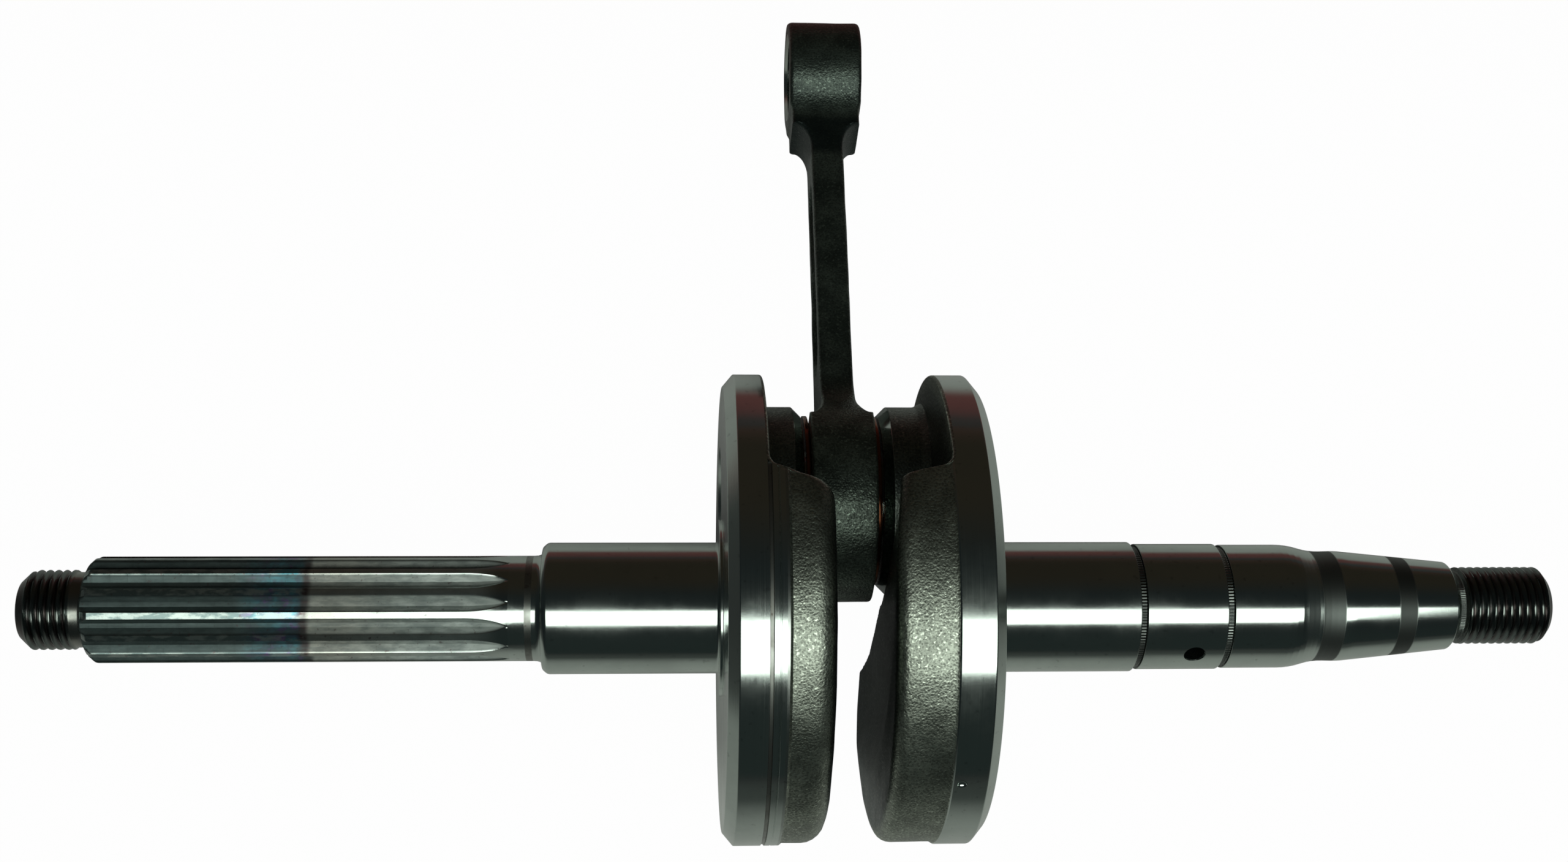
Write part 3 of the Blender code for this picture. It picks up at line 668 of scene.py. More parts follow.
class Finish:
    """A metal material: its node graph, its shader and the effects placed in it."""

    def __init__(self, name, metallic=1.0):
        self.material = bpy.data.materials.new(name)
        self.material.use_nodes = True
        self.graph = Graph(self.material.node_tree)
        self.shader = self.material.node_tree.nodes["Principled BSDF"]
        self.shader.inputs["Metallic"].default_value = metallic

    def place(self, tree, **values):
        node = self.graph.node("ShaderNodeGroup", node_tree=tree)
        for name, value in values.items():
            self.graph.feed(node.inputs[name], value)
        return {socket.name: Field(self.graph, socket) for socket in node.outputs}

    def parts(self):
        """A point's place along the crank axis, across it and up from it."""
        return self.graph.split(object_place(self.graph))

    def bump(self, height, strength, depth):
        inputs = {"Height": height, "Strength": strength, "Distance": depth}
        self.feed(Normal=self.graph.make("ShaderNodeBump", inputs))

    def feed(self, **values):
        for name, value in values.items():
            self.graph.feed(self.shader.inputs[name.replace("_", " ")], value)


def solid(rgb, level=1.0):
    return (*(channel * level for channel in rgb), 1.0)


# Bands (low, high, strength) along the axis in a rust tone: rust in the tool groove and along the forged edge of
# the drive web's rim, and painted shade round the drive shaft just before its shoulder, for the fillet's dark
# reflection
RIM_RUST = ((-13.0 * MM, -12.5 * MM, 0.9), (-10.6 * MM, -10.2 * MM, 0.45))
SHAFT_PAINTED_SHADE = ((-48.2 * MM, -47.3 * MM, 0.8),)
RUST_AND_SHADE_FADE = 0.12 * MM
RUST_AND_SHADE_TONE = (0.055, 0.032, 0.02, 1.0)


def ground_finish(name, rgb, roughness, pitch, centre=(0.0, 0.0, 0.0), rust_and_painted_shade=()):
    """Ground or finely turned steel, with rust-toned bands along the shaft: rust on the rim, painted shade by the
    drive shaft's shoulder.
    """
    steel = Finish(name)
    marks = steel.place(tool_marks(), Pitch=pitch, Centre=centre)
    hands = steel.place(handling())
    tone = steel.graph.coated(
        solid(rgb),
        (hands["Smear"] * 0.55, solid(rgb, 0.82)),
        (hands["Specks"] * 0.35, solid(rgb, 0.35)))
    rough = hands["Smear"] * 0.06 + marks["Height"] * 0.08 + (roughness - 0.04)
    # Bands in the rust tone: real rust, and painted shade where a band stands for a dark reflection
    for low, high, strength in rust_and_painted_shade:
        band = steel.parts()[0].band((low - RUST_AND_SHADE_FADE, low), (high, high + RUST_AND_SHADE_FADE))
        patch = band * (hands["Specks"] * 0.2 + hands["Smear"] * 0.3 + 0.6) * strength
        tone = steel.graph.mix(patch, tone, RUST_AND_SHADE_TONE)
        rough = rough + patch * 0.3
    steel.feed(Base_Color=tone, Roughness=rough)
    steel.bump(marks["Height"] + marks["Grain"] * 0.6, 0.12, 0.012 * MM)


def taper_finish(name, colours):
    """Ground taper with two dark rubbed bands round it."""
    steel = Finish(name)
    marks = steel.place(tool_marks(), Pitch=0.12 * MM)
    hands = steel.place(handling())
    along = steel.parts()[0]
    neck = along.band(mm(69.6, 70.6), mm(72.4, 72.9))
    first = along.band(mm(72.6, 72.9), mm(76.1, 76.4))
    second = along.band(mm(84.8, 85.1), mm(87.6, 87.9))
    tone = steel.graph.coated(
        solid(colours.steel),
        (hands["Smear"] * 0.55, solid(colours.steel, 0.8)),
        (first * 0.84 + second * 0.9, solid(colours.steel, 0.08)))
    rough = hands["Smear"] * 0.06 + marks["Height"] * 0.06 + (first + second) * 0.34 + neck * 0.1 + 0.1
    steel.feed(Base_Color=tone, Roughness=rough)
    steel.bump(marks["Height"], 0.12, 0.01 * MM)


def knurl_finish(name, colours):
    """The floor of a shaft groove, with close lines along the shaft."""
    steel = Finish(name)
    hands = steel.place(handling())
    _, across, up = steel.parts()
    lines = (across.math("ARCTAN2", up) * 120.0).math("SINE")
    tone = steel.graph.mix(hands["Smear"], solid(colours.steel, 0.36), solid(colours.steel, 0.16))
    steel.feed(Base_Color=tone, Roughness=hands["Smear"] * 0.1 + 0.24)
    steel.bump(lines, 0.6, 0.05 * MM)


def forged_finish(name, rgb, size, depth, rough, scale=None, metallic=1.0, tones=(0.75, 1.2)):
    """As-forged, blasted skin, darkened where a mask gives it, which in this script is mainly painted shade."""
    steel = Finish(name, metallic)
    grain = steel.place(forged_grain(), Size=size)
    hands = steel.place(handling(), Size=20.0 * MM)
    tone = steel.graph.coated(
        solid(rgb, tones[0]),
        (grain["Tone"].between(0.3, 0.7), solid(rgb, tones[1])),
        (grain["Speckle"] * 0.6, solid(rgb, 0.3)),
        (grain["Flats"] * 0.6, solid(rgb, 2.2)),
        (hands["Specks"] * 0.4, solid(rgb, 0.4)))
    # A mask given as scale paints shade: it darkens the skin towards the dark tone below
    if scale:
        dark = (rgb[0] * 0.11, rgb[1] * 0.15, rgb[2] * 0.19, 1.0)
        tone = steel.graph.mix(scale(steel.graph), tone, dark)
    steel.feed(Base_Color=tone, Roughness=grain["Tone"] * 0.12 - grain["Flats"] * 0.1 + rough)
    steel.bump(grain["Height"], 0.9, depth)


def painted_shade_inside_webs(graph):
    """Mask of painted shade on the webs' inner sides and pin bosses, inside their rims, heavier towards -Y."""
    _, across, up = graph.split(object_place(graph))
    inside = distance(across, up).between(*mm(34.8, 32.8))
    near_side = across.between(*mm(4.0, -4.0)) * 0.26
    near_edge = across.between(*mm(-6.0, -20.0)) * 0.12
    return inside * (near_side + near_edge + 0.56)


def rod_darkening_and_painted_shade(graph):
    """Mask that darkens the rod's shank and eye from 13 mm up the rod, with painted shade where the shank widens
    into the eye.
    """
    place = graph.vector("SUBTRACT", object_place(graph), PIN)
    along = graph.vector("DOT_PRODUCT", place, (EYE - PIN).normalized(), "Value")
    start, end = EYE_FLARE
    # Painted shade where the shank widens into the eye
    corner = along.band((start - 2.0 * MM, start), (end, end + 2.0 * MM))
    return along.between(*mm(13.0, 18.0)) * 0.4 + corner * 0.46


# Patches in the blue band of the heat tint
TEAL = (0.1, 0.3, 0.36, 1.0)
VIOLET = (0.2, 0.13, 0.32, 1.0)

# Step of the cutter along the spline grooves
CUTTER_FEED = 2.6 * MM


def spline_finish(name, colours):
    """Ground lands and milled grooves under a heat tint that ends in a brown line."""
    steel = Finish(name)
    graph = steel.graph
    marks = steel.place(tool_marks(), Pitch=0.5 * MM)
    hands = steel.place(handling(), Size=9.0 * MM)
    place = object_place(graph)
    along, across, up = graph.split(place)

    def stretched(share, scale, detail, roughness):
        """Noise drawn out along the shaft."""
        vector = graph.make("ShaderNodeCombineXYZ", {0: along * share, 1: across, 2: up})
        return graph.noise({"Vector": vector, "Scale": scale, "Detail": detail, "Roughness": roughness})

    depth = graph.make("ShaderNodeAttribute", {}, "Fac", attribute_name="groove")
    groove = depth.between(0.02, 0.3)
    # Mask of the grooves' flanks, which get painted shade below
    flank = depth.band((0.02, 0.1), (0.2, 0.42))
    fade = along.between(*mm(-51.5, -56.0))
    wander = graph.noise({"Vector": place, "Scale": 160.0, "Detail": 3.0})
    streaks = stretched(0.16, 1500.0, 4.0, 0.6)
    blotch = stretched(0.4, 900.0, 3.0, 0.65)
    patches = graph.noise({"Vector": place, "Scale": 520.0, "Detail": 2.0})
    heat = along + (wander - 0.5) * (2.2 * MM)
    bare = heat.between(*mm(-82.0, -79.8))
    blue = graph.coated(
        solid(colours.blue), (patches.between(0.45, 0.6), TEAL), (patches.between(0.42, 0.34), VIOLET))
    rubbed = blotch.between(0.42, 0.6) * heat.between(*mm(-79.0, -82.0)) * (1.0 - groove)
    spots = blotch.between(0.35, 0.65) * (0.2 + groove * (0.35 - bare * 0.1)) * fade
    worn = 0.12 + groove * (0.4 - bare * 0.15)
    tint = graph.coated(
        solid(colours.scale),
        (heat.between(*mm(-92.0, -84.5)), blue),
        (heat.between(*mm(-82.0, -81.0)), solid(colours.brown)),
        (heat.between(*mm(-80.7, -79.8)), solid(colours.straw)),
        (heat.between(*mm(-78.0, -62.0)), solid(colours.steel, 0.92)),
        (groove * (0.25 - bare * 0.2), solid(colours.scale)),
        (rubbed * 0.55, solid(colours.steel)),
        (spots, solid(colours.scale, 0.45)),
        (streaks.between(0.42, 0.68) * worn * fade, solid(colours.scale)),
        # Painted shade: the grooves' flanks are darkened as if shadowed
        (flank * (0.6 - bare * 0.3), solid(colours.scale, 0.25)),
        (hands["Specks"] * 0.6 * fade, solid(colours.brown)),
        (hands["Smear"] * 0.18 * fade, solid(colours.scale)))
    rough = groove * 0.36 + hands["Smear"] * 0.06 + streaks * 0.08 * fade + 0.09
    metal = bare * (0.05 - groove * 0.65) + 0.95 - fade * 0.09
    steel.feed(Base_Color=tint, Roughness=rough, Metallic=metal)
    feed = (along / CUTTER_FEED).math("FRACT")
    height = marks["Height"] * 0.4 + streaks * groove + feed.math("POWER", 8.0) * groove * 1.5
    steel.bump(height, 0.35, 0.04 * MM)


def thread_finish(name, colours):
    """Cut threads, oily and darker in the roots, with a straw-coloured neck by the splines."""
    steel = Finish(name)
    grain = steel.place(forged_grain(), Size=0.5 * MM)
    hands = steel.place(handling(), Size=6.0 * MM)
    along, across, up = steel.parts()
    root = distance(across, up).between(*mm(5.85, 5.5))
    neck = along.band(mm(-115.7, -115.2), mm(-113.0, -112.0))
    tone = steel.graph.coated(
        solid(colours.steel, 0.3),
        (root * 0.85, solid(colours.brown, 0.5)),
        (neck * 0.5, solid(colours.straw)),
        (hands["Smear"] * 0.5, solid(colours.scale, 0.7)))
    steel.feed(Base_Color=tone, Roughness=hands["Smear"] * 0.08 + root * 0.08 + 0.17)
    steel.bump(grain["Height"], 0.2, 0.02 * MM)


def copper_finish(name, rgb):
    """Copper plating with duller patches."""
    copper = Finish(name)
    marks = copper.place(tool_marks(), Pitch=0.2 * MM, Centre=PIN)
    hands = copper.place(handling(), Size=5.0 * MM)
    tone = copper.graph.mix(hands["Smear"], solid(rgb), solid(rgb, 0.6))
    copper.feed(Base_Color=tone, Roughness=hands["Smear"] * 0.06 + marks["Height"] * 0.06 + 0.1)
    copper.bump(marks["Height"], 0.2, 0.02 * MM)


def made_once(build, name, *settings, **more):
    """The material of a finish, built at its first use."""
    if name not in bpy.data.materials:
        build(name, *settings, **more)
    return bpy.data.materials[name]


def crank_finishes(context):
    """The half cranks' materials by finish, in the order of FINISHES."""
    colours = context.scene.crank_colours
    settings = {
        # The ground shafts carry a band of painted shade by the drive shaft's shoulder
        "ground": (ground_finish, colours.steel, 0.13, 0.12 * MM, (0.0, 0.0, 0.0), SHAFT_PAINTED_SHADE),
        "turned": (ground_finish, colours.steel, 0.135, 0.22 * MM, (0.0, 0.0, 0.0), RIM_RUST),
        # The forged finish darkens its skin with painted shade inside the webs' rims
        "forged": (forged_finish, colours.forged, 0.37 * MM, 0.08 * MM, 0.33, painted_shade_inside_webs),
        "spline": (spline_finish, colours),
        "thread": (thread_finish, colours),
        "taper": (taper_finish, colours),
        "knurl": (knurl_finish, colours),
    }
    return {key: made_once(build, MATERIAL_OF[key], *rest) for key, (build, *rest) in settings.items()}


# Half cranks


def shaft_end(end, face, face_round, chamfer, chamfer_round):
    """The shaft's end face with its centre hole and its chamfer, from the axis outwards."""
    return in_metres([
        (-3.4, 0.0, 0.0, "thread"),
        (-3.4, 0.8, 0.1, "thread"),
        (-2.1, 0.8, 0.0, "thread"),
        (0.0, 2.0, 0.1, "turned"),
        (0.0, face, face_round, "thread"),
        (-chamfer, 6.0, chamfer_round, "thread"),
    ], end)


# Where the splines' grooves begin to run out, over what length, and where the columns are even again
RUN_OUT_START = 57.1 * MM
RUN_OUT = 6.4 * MM
RUN_OUT_BACK = 2.1 * MM

# A half crank's web: the corners of its outer side, the rings of its rim, and the places of its inner faces
Web = namedtuple("Web", "outer rim plate weight_face weight_low weight_edge relief turned_end")

# Top of the fillet between a counterweight and its web, from the axis
WEIGHT_TOP = 5.6 * MM

# The counterweight's relief is deepest within this distance of the pin, and then rises over a span
RELIEF_START = 29.0 * MM
RELIEF_SPAN = 14.0 * MM
RELIEF_POWER = 0.7

# Steps of the web's skin round the axis, with closer ones by the counterweight's upper edge, round its inner
# edge and from there to the axis, then those of the shafts
WEB_SIDES = 216
WEB_CLOSE_ANGLES = np.radians(np.arange(72.0, 97.0, 0.45))
WEB_LEAST_ANGLE = radians(0.12)
WEB_EDGE_STEPS = 6
WEB_FACE_RINGS = 72
SHAFT_SIDES = 160
SPLINE_STEPS = 7


def shaft_foot(shoulder):
    """The shaft's fillet at the bearing shoulder, and its end inside the web."""
    return [
        (shoulder, 10.0, 0.5, "turned"),
        (shoulder - 0.02, 11.2, 0.0, "turned"),
        (shoulder - 1.5, 11.2, 0.0, "turned"),
        (shoulder - 1.5, 0.0, 0.0, "turned"),
    ]


def drive_shaft():
    """Corners of the drive shaft from its end to the web: (outwards, radius, rounding, finish)."""
    rows = [
        (115.7, 6.0, 0.2, "neck"),
        (115.3, 5.68, 0.4, "neck"),
        (113.6, 5.62, 0.4, "neck"),
        (113.6, 6.5, 0.3, "spline"),
        (113.2, 7.2, 0.6, "spline"),
        (112.3, 8.0, 0.8, "spline"),
        (57.1, 8.0, 0.0, "runout"),
        (50.7, 8.0, 0.0, "plain"),
        (48.6, 8.0, 0.0, "ground"),
        (45.9, 8.0, 1.5, "ground"),
        (45.9, 9.3, 0.6, "ground"),
        (45.1, 10.0, 1.0, "ground"),
    ]
    return shaft_end(-DRIVE_LOW.x, 4.4, 0.3, 1.7, 0.5) + in_metres(rows + shaft_foot(19.2))


def ignition_shaft():
    """Corners of the ignition shaft from its end to the web."""
    rows = [
        (96.6, 6.0, 0.15, "knurl"),
        (96.3, 5.3, 0.3, "knurl"),
        (95.2, 5.3, 0.2, "knurl"),
        (95.2, 6.04, 0.1, "taper"),
        (94.4, 6.84, 0.2, "taper"),
        (77.2, 8.56, 12.0, "taper"),
        (73.0, 8.45, 12.0, "taper"),
        (69.4, 9.55, 12.0, "ground"),
        (58.8, 9.55, 0.15, "knurl"),
        (58.8, 9.05, 0.2, "knurl"),
        (57.8, 9.05, 0.2, "knurl"),
        (57.8, 9.7, 0.15, "ground"),
        (45.4, 9.7, 0.15, "knurl"),
        (45.4, 9.2, 0.2, "knurl"),
        (44.4, 9.2, 0.2, "knurl"),
        (44.4, 10.0, 0.15, "ground"),
    ]
    return shaft_end(IGNITION_HIGH.x, 4.7, 0.2, 1.1, 0.3) + in_metres(rows + shaft_foot(20.1))


def web_outer(face):
    """Corners of a web's outer side, from the axis over the bearing shoulder to the rim."""
    return in_metres([
        (face + 0.5, 0.0, 0.0, "turned"),
        (face + 0.5, 13.5, 0.15, "turned"),
        (face, 13.5, 0.1, "turned"),
        (face, 33.9, 0.25, "turned"),
        (face - 1.6, 35.8, 0.3, "turned"),
        (face - 3.6, 35.8, 0.0, "turned"),
    ])


def rim_rows(sizes, rows, forged):
    """Rows of a rim in metres (along, depth, finish): those given, then those on the forged skin."""
    given = [(along * MM, depth * MM, finish) for along, depth, finish in rows]
    return given + [(along * MM, sizes.forged_step, "forged") for along in forged]


def rim_rings(sizes, rim, edge, edge_radius, rounding):
    """Rings of the rim at fixed places, each stopped where the web's inner edge begins."""
    stop = edge + rounding
    for along, depth, finish in rim:
        free = along > stop
        skin = np.where(free & (finish == "forged"), 1.0, 0.0)
        yield np.where(free, along, stop), np.where(free, sizes.web_radius - depth, edge_radius), finish, skin


def web_angles():
    """Angles about the axis, closer together where the counterweight's upper edge meets the rim."""
    even = np.linspace(-pi, pi, WEB_SIDES, endpoint=False)
    every = np.sort(np.concatenate([even, WEB_CLOSE_ANGLES, -WEB_CLOSE_ANGLES]))
    keep = np.concatenate([[True], np.diff(every) > WEB_LEAST_ANGLE])
    return every[keep]


def groove_angles(sizes, along):
    """Angles that follow the splines' flanks and floors, closer together where the grooves run out."""
    share = np.clip((RUN_OUT_START - along) / RUN_OUT, 0.0, 1.0)
    back = np.clip((RUN_OUT_START - RUN_OUT - along) / RUN_OUT_BACK, 0.0, 1.0)
    left = max(1.0 - share * share, 0.1, back)
    pitch = tau / sizes.spline_count
    half_open = (pitch - sizes.spline_land / sizes.spline_radius) / 2 * left ** 0.75
    half_floor = sizes.spline_floor / sizes.spline_radius / 2 * left
    flank = np.linspace(half_floor, half_open, SPLINE_STEPS)
    land = np.linspace(half_open, pitch - half_open, SPLINE_STEPS)[1:-1]
    steps = np.concatenate([-flank[::-1], [-half_floor / 2, 0.0, half_floor / 2], flank, land])
    starts = sizes.spline_phase + pitch * np.arange(sizes.spline_count)
    return (starts[:, None] + steps[None, :]).ravel()


def web_rings(sizes, web, angles):
    """Rings from the axis on a web's outer side over its rim to the axis on its inner side."""
    rings = plain_rings(rounded(web.outer))
    plate, weight_face = web.plate, web.weight_face
    slope = [
        (-1.0, weight_face, 0.0, ""),
        (web.weight_low, weight_face, sizes.weight_round, ""),
        (WEIGHT_TOP, plate, sizes.weight_fillet, ""),
        (1.0, plate, 0.0, ""),
    ]
    heights, faces, _ = zip(*rounded(slope))

    def inner_face(radius):
        height = radius * np.cos(angles)
        face = np.interp(height, heights, faces)
        from_pin = np.hypot(radius * np.sin(angles), height - THROW)
        fall = 1.0 - smooth(from_pin, RELIEF_START, RELIEF_SPAN)
        return np.maximum(face, weight_face + web.relief * fall ** RELIEF_POWER)

    rise = (inner_face(sizes.web_radius - web.weight_edge) - weight_face) / (plate - weight_face)
    rounding = web.weight_edge + (sizes.plate_edge - web.weight_edge) * rise
    edge = inner_face(sizes.web_radius - rounding)
    plain = np.clip((edge + rounding - web.turned_end) / (0.5 * MM), 0.0, 1.0)
    edge_radius = sizes.web_radius - sizes.forged_step * (1.0 - plain)
    start = edge_radius - rounding
    edge = inner_face(start)
    rings += rim_rings(sizes, web.rim, edge, edge_radius, rounding)
    for k in range(WEB_EDGE_STEPS + 1):
        turn = k / WEB_EDGE_STEPS * pi / 2
        place = edge + rounding * (1.0 - sin(turn))
        rings.append((place, start + rounding * cos(turn), "forged", 1.0 - plain))
    for share in np.linspace(1.0, 0.0, WEB_FACE_RINGS)[1:]:
        radius = start * share
        rings.append((inner_face(radius), radius, "forged", 1.0))
    return rings


def surface_values(sizes, finishes):
    """Inputs of the crank's surface tree."""
    return {
        "Thread Pitch": sizes.thread_pitch,
        "Thread Depth": sizes.thread_depth,
        "Thread Radius": sizes.thread_radius,
        "Spline Count": float(sizes.spline_count),
        "Spline Phase": sizes.spline_phase + CRANK_TURN,
        "Spline Depth": sizes.spline_depth,
        "Spline Radius": sizes.spline_radius,
        "Land": sizes.spline_land,
        "Floor": sizes.spline_floor,
        "Run-out Start": -RUN_OUT_START,
        "Run-out Length": RUN_OUT,
        "Grain Depth": sizes.grain_depth,
        "Grain Size": sizes.grain_size,
        "Lump Depth": sizes.lump_depth,
        "Lump Size": sizes.lump_size,
        **finishes,
    }


def pin_boss(sizes, side, plate, face):
    """The boss round the crank pin, with a fillet at the web."""
    foot = plate + 2.0 * MM
    rows = [
        (foot, 0.0, 0.0, "forged"),
        (foot, sizes.boss_radius + sizes.boss_fillet, 0.0, "forged"),
        (plate, sizes.boss_radius + sizes.boss_fillet, 0.0, "forged"),
        (plate - 0.05 * MM, sizes.boss_radius + sizes.boss_fillet * 0.5, 0.0, "forged"),
        (plate - sizes.boss_fillet, sizes.boss_radius, sizes.boss_fillet, "forged"),
        (face + sizes.boss_chamfer, sizes.boss_radius, 0.3 * MM, "turned"),
        (face, sizes.boss_radius - sizes.boss_chamfer, 0.2 * MM, "turned"),
        (face, 0.0, 0.0, "turned"),
    ]
    return turned_mesh("pin_boss", rows, PIN_PLACE, side=side)


def pin_bore(side, face):
    """The crank pin's seat, with a small chamfer at the outer face."""
    radius = PIN_RADIUS + 0.15 * MM
    rows = [
        (0.0, 0.0, 0.0, "ground"),
        (0.0, radius, 0.0, "ground"),
        (face - 0.5 * MM, radius, 0.0, "turned"),
        (face + 0.6 * MM, radius + 1.1 * MM, 0.0, "turned"),
        (face + 0.6 * MM, 0.0, 0.0, "turned"),
    ]
    return turned_mesh("pin_bore", rows, PIN_PLACE, side=side)


def big_end_scoop(sizes, side, face):
    """Room for the big end, turned out of the counterweight's upper edge."""
    radius = BIG_END_RADIUS + sizes.rod_relief
    rows = [
        (-1.0 * MM, 0.0, 0.0, "forged"),
        (-1.0 * MM, radius + 1.4 * MM, 0.0, "forged"),
        (face, radius, 1.2 * MM, "forged"),
        (face, 0.0, 0.0, "forged"),
    ]
    return turned_mesh("big_end_scoop", rows, PIN_PLACE, side=side)


def dressed(context, name, mesh, finishes):
    """Runs the surface tree on a mesh, and keeps its materials in the order of FINISHES."""
    piece = new_object(name, mesh)
    tree = bpy.data.node_groups.get("crank_surface") or crank_surface_tree()
    run_tree(piece, tree, surface_values(context.scene.crank_sizes, finishes))
    kinds = np.zeros(len(piece.data.polygons), np.int32)
    piece.data.attributes["finish"].data.foreach_get("value", kinds)
    piece.data.materials.clear()
    for finish in FINISHES:
        piece.data.materials.append(finishes[finish])
    piece.data.polygons.foreach_set("material_index", kinds)
    return piece


def make_half(context, name, side, shaft, columns, web):
    """One half crank: its web with the pin boss, and its shaft with columns of points at the angles given."""
    sizes = context.scene.crank_sizes
    finishes = crank_finishes(context)
    angles = web_angles()
    mesh = ring_mesh(name, web_rings(sizes, web, angles), angles, side, CRANK_PLACE)
    piece = dressed(context, name, mesh, finishes)
    rings = plain_rings(rounded(shaft))
    turns = np.array([columns(ring[0]) for ring in rings])
    mesh = ring_mesh(name + "_shaft", rings, turns, side, CRANK_PLACE)
    spare = dressed(context, name + "_shaft", mesh, finishes)
    mesh = spare.data
    bpy.data.objects.remove(spare)
    combined(piece, mesh, "UNION")
    combined(piece, big_end_scoop(sizes, side, BOSS_FACE + sizes.rod_relief), "DIFFERENCE")
    combined(piece, pin_boss(sizes, side, web.plate, BOSS_FACE), "UNION")
    combined(piece, pin_bore(side, web.outer[2][0]), "DIFFERENCE")
    return piece


def mark_grooves(mesh):
    """Keeps the edges between the splines' lands and grooves sharp, also where a groove runs out."""
    skin = bmesh.new()
    skin.from_mesh(mesh)
    depth = skin.verts.layers.float["groove"]
    for edge in skin.edges:
        if max(corner[depth] for corner in edge.verts) < 1e-4:
            depths = [max(corner[depth] for corner in face.verts) for face in edge.link_faces]
            if min(depths) < 1e-4 < max(depths):
                edge.smooth = False
    skin.to_mesh(mesh)
    skin.free()


# The key's seat in millimetres: half width, radius of its cutter, depth below the taper and place along it
KEY_HALF, KEY_RADIUS, KEY_DEPTH, KEY_ALONG = 1.5, 6.5, 3.6, 85.6
KEY_SURFACE = 7.72
KEY_TURN = radians(-100.0)


def key_seat():
    """Half-moon seat for the flywheel's key, on the underside of the taper."""
    rows = in_metres([
        (-KEY_HALF, 0.0, 0.0, "turned"),
        (-KEY_HALF, KEY_RADIUS, 0.1, "turned"),
        (KEY_HALF, KEY_RADIUS, 0.1, "turned"),
        (KEY_HALF, 0.0, 0.0, "turned"),
    ])
    centre = Matrix.Translation(mm(KEY_ALONG, 0.0, KEY_SURFACE - KEY_DEPTH + KEY_RADIUS))
    spot = centre @ Matrix.Rotation(pi / 2, 4, "Z")
    return turned_mesh("key_seat", rows, CRANK_PLACE @ Matrix.Rotation(KEY_TURN, 4, "X") @ spot)


def drilled(name, rows, place, along, turn, sides):
    """A form turned about a line that points outwards from the crank axis."""
    spot = Matrix.Translation((along * MM, 0.0, 0.0)) @ Matrix.Rotation(radians(turn), 4, "X")
    return turned_mesh(name, rows, place @ spot @ Matrix.Rotation(-pi / 2, 4, "Y"), sides=sides)


def cross_hole():
    """Small blind hole in the seal land, with a broken edge."""
    rows = in_metres([
        (-6.0, 0.0, 0.0, "forged"),
        (-5.2, 1.5, 0.0, "forged"),
        (-0.3, 1.5, 0.0, "knurl"),
        (0.6, 2.0, 0.0, "knurl"),
        (0.6, 0.0, 0.0, "knurl"),
    ], 9.7 * MM)
    return drilled("cross_hole", rows, CRANK_PLACE, 53.2, 165.0, 48)


def punch_mark(sizes):
    """Small round dent in the ignition web's rim."""
    rows = in_metres([
        (-0.42, 0.0, 0.0, "ground"),
        (-0.38, 0.3, 0.0, "ground"),
        (-0.2, 0.6, 0.0, "ground"),
        (0.3, 0.95, 0.0, "ground"),
        (0.3, 0.0, 0.0, "ground"),
    ], sizes.web_radius)
    return drilled("punch_mark", rows, Matrix.Identity(4), 14.35, 48.4, 32)


class MESH_OT_crank_drive_half(bpy.types.Operator):
    """Makes the drive-side half crank with its splined and threaded shaft"""

    bl_idname = "mesh.crank_drive_half"
    bl_label = "Drive half crank"

    def execute(self, context):
        sizes = context.scene.crank_sizes
        rim = rim_rows(sizes, [
            (13.05, 0.0, "turned"),
            (12.97, 0.22, "turned"),
            (12.55, 0.22, "turned"),
            (12.45, 0.0, "turned"),
            (11.68, 0.0, "turned"),
            (11.6, 0.08, "turned"),
            (11.5, 0.08, "turned"),
            (11.42, 0.0, "turned"),
            (10.3, 0.0, "forged"),
        ], (9.9, 9.2, 8.5, 7.8, 7.1, 6.4, 5.8))
        web = Web(
            outer=web_outer(18.7), rim=rim, plate=12.7 * MM, weight_face=-DRIVE_HIGH.x, weight_low=2.7 * MM,
            weight_edge=sizes.drive_edge, relief=0.0, turned_end=10.2 * MM)

        def columns(along):
            return groove_angles(sizes, along)

        piece = make_half(context, "drive_half", -1, drive_shaft(), columns, web)
        finished(piece, "crank", "drive_half_crank")
        mark_grooves(piece.data)
        return {"FINISHED"}


class MESH_OT_crank_ignition_half(bpy.types.Operator):
    """Makes the ignition-side half crank with its tapered and threaded shaft"""

    bl_idname = "mesh.crank_ignition_half"
    bl_label = "Ignition half crank"

    def execute(self, context):
        sizes = context.scene.crank_sizes
        rim = rim_rows(sizes, [
            (13.15, 0.0, "turned"),
            (12.95, 0.15, "forged"),
        ], (12.5, 11.8, 11.1, 10.4, 9.7, 9.0, 8.3, 7.6, 6.9))
        web = Web(
            outer=web_outer(19.6), rim=rim, plate=13.2 * MM, weight_face=IGNITION_LOW.x - 0.8 * MM,
            weight_low=3.6 * MM, weight_edge=sizes.ignition_edge, relief=2.4 * MM, turned_end=12.55 * MM)
        even = np.linspace(-pi, pi, SHAFT_SIDES, endpoint=False)
        piece = make_half(context, "ignition_half", 1, ignition_shaft(), lambda along: even, web)
        for tool in (key_seat(), cross_hole(), punch_mark(sizes)):
            combined(piece, tool, "DIFFERENCE")
        finished(piece, "crank", "ignition_half_crank")
        return {"FINISHED"}


# Pin, washers and bearing


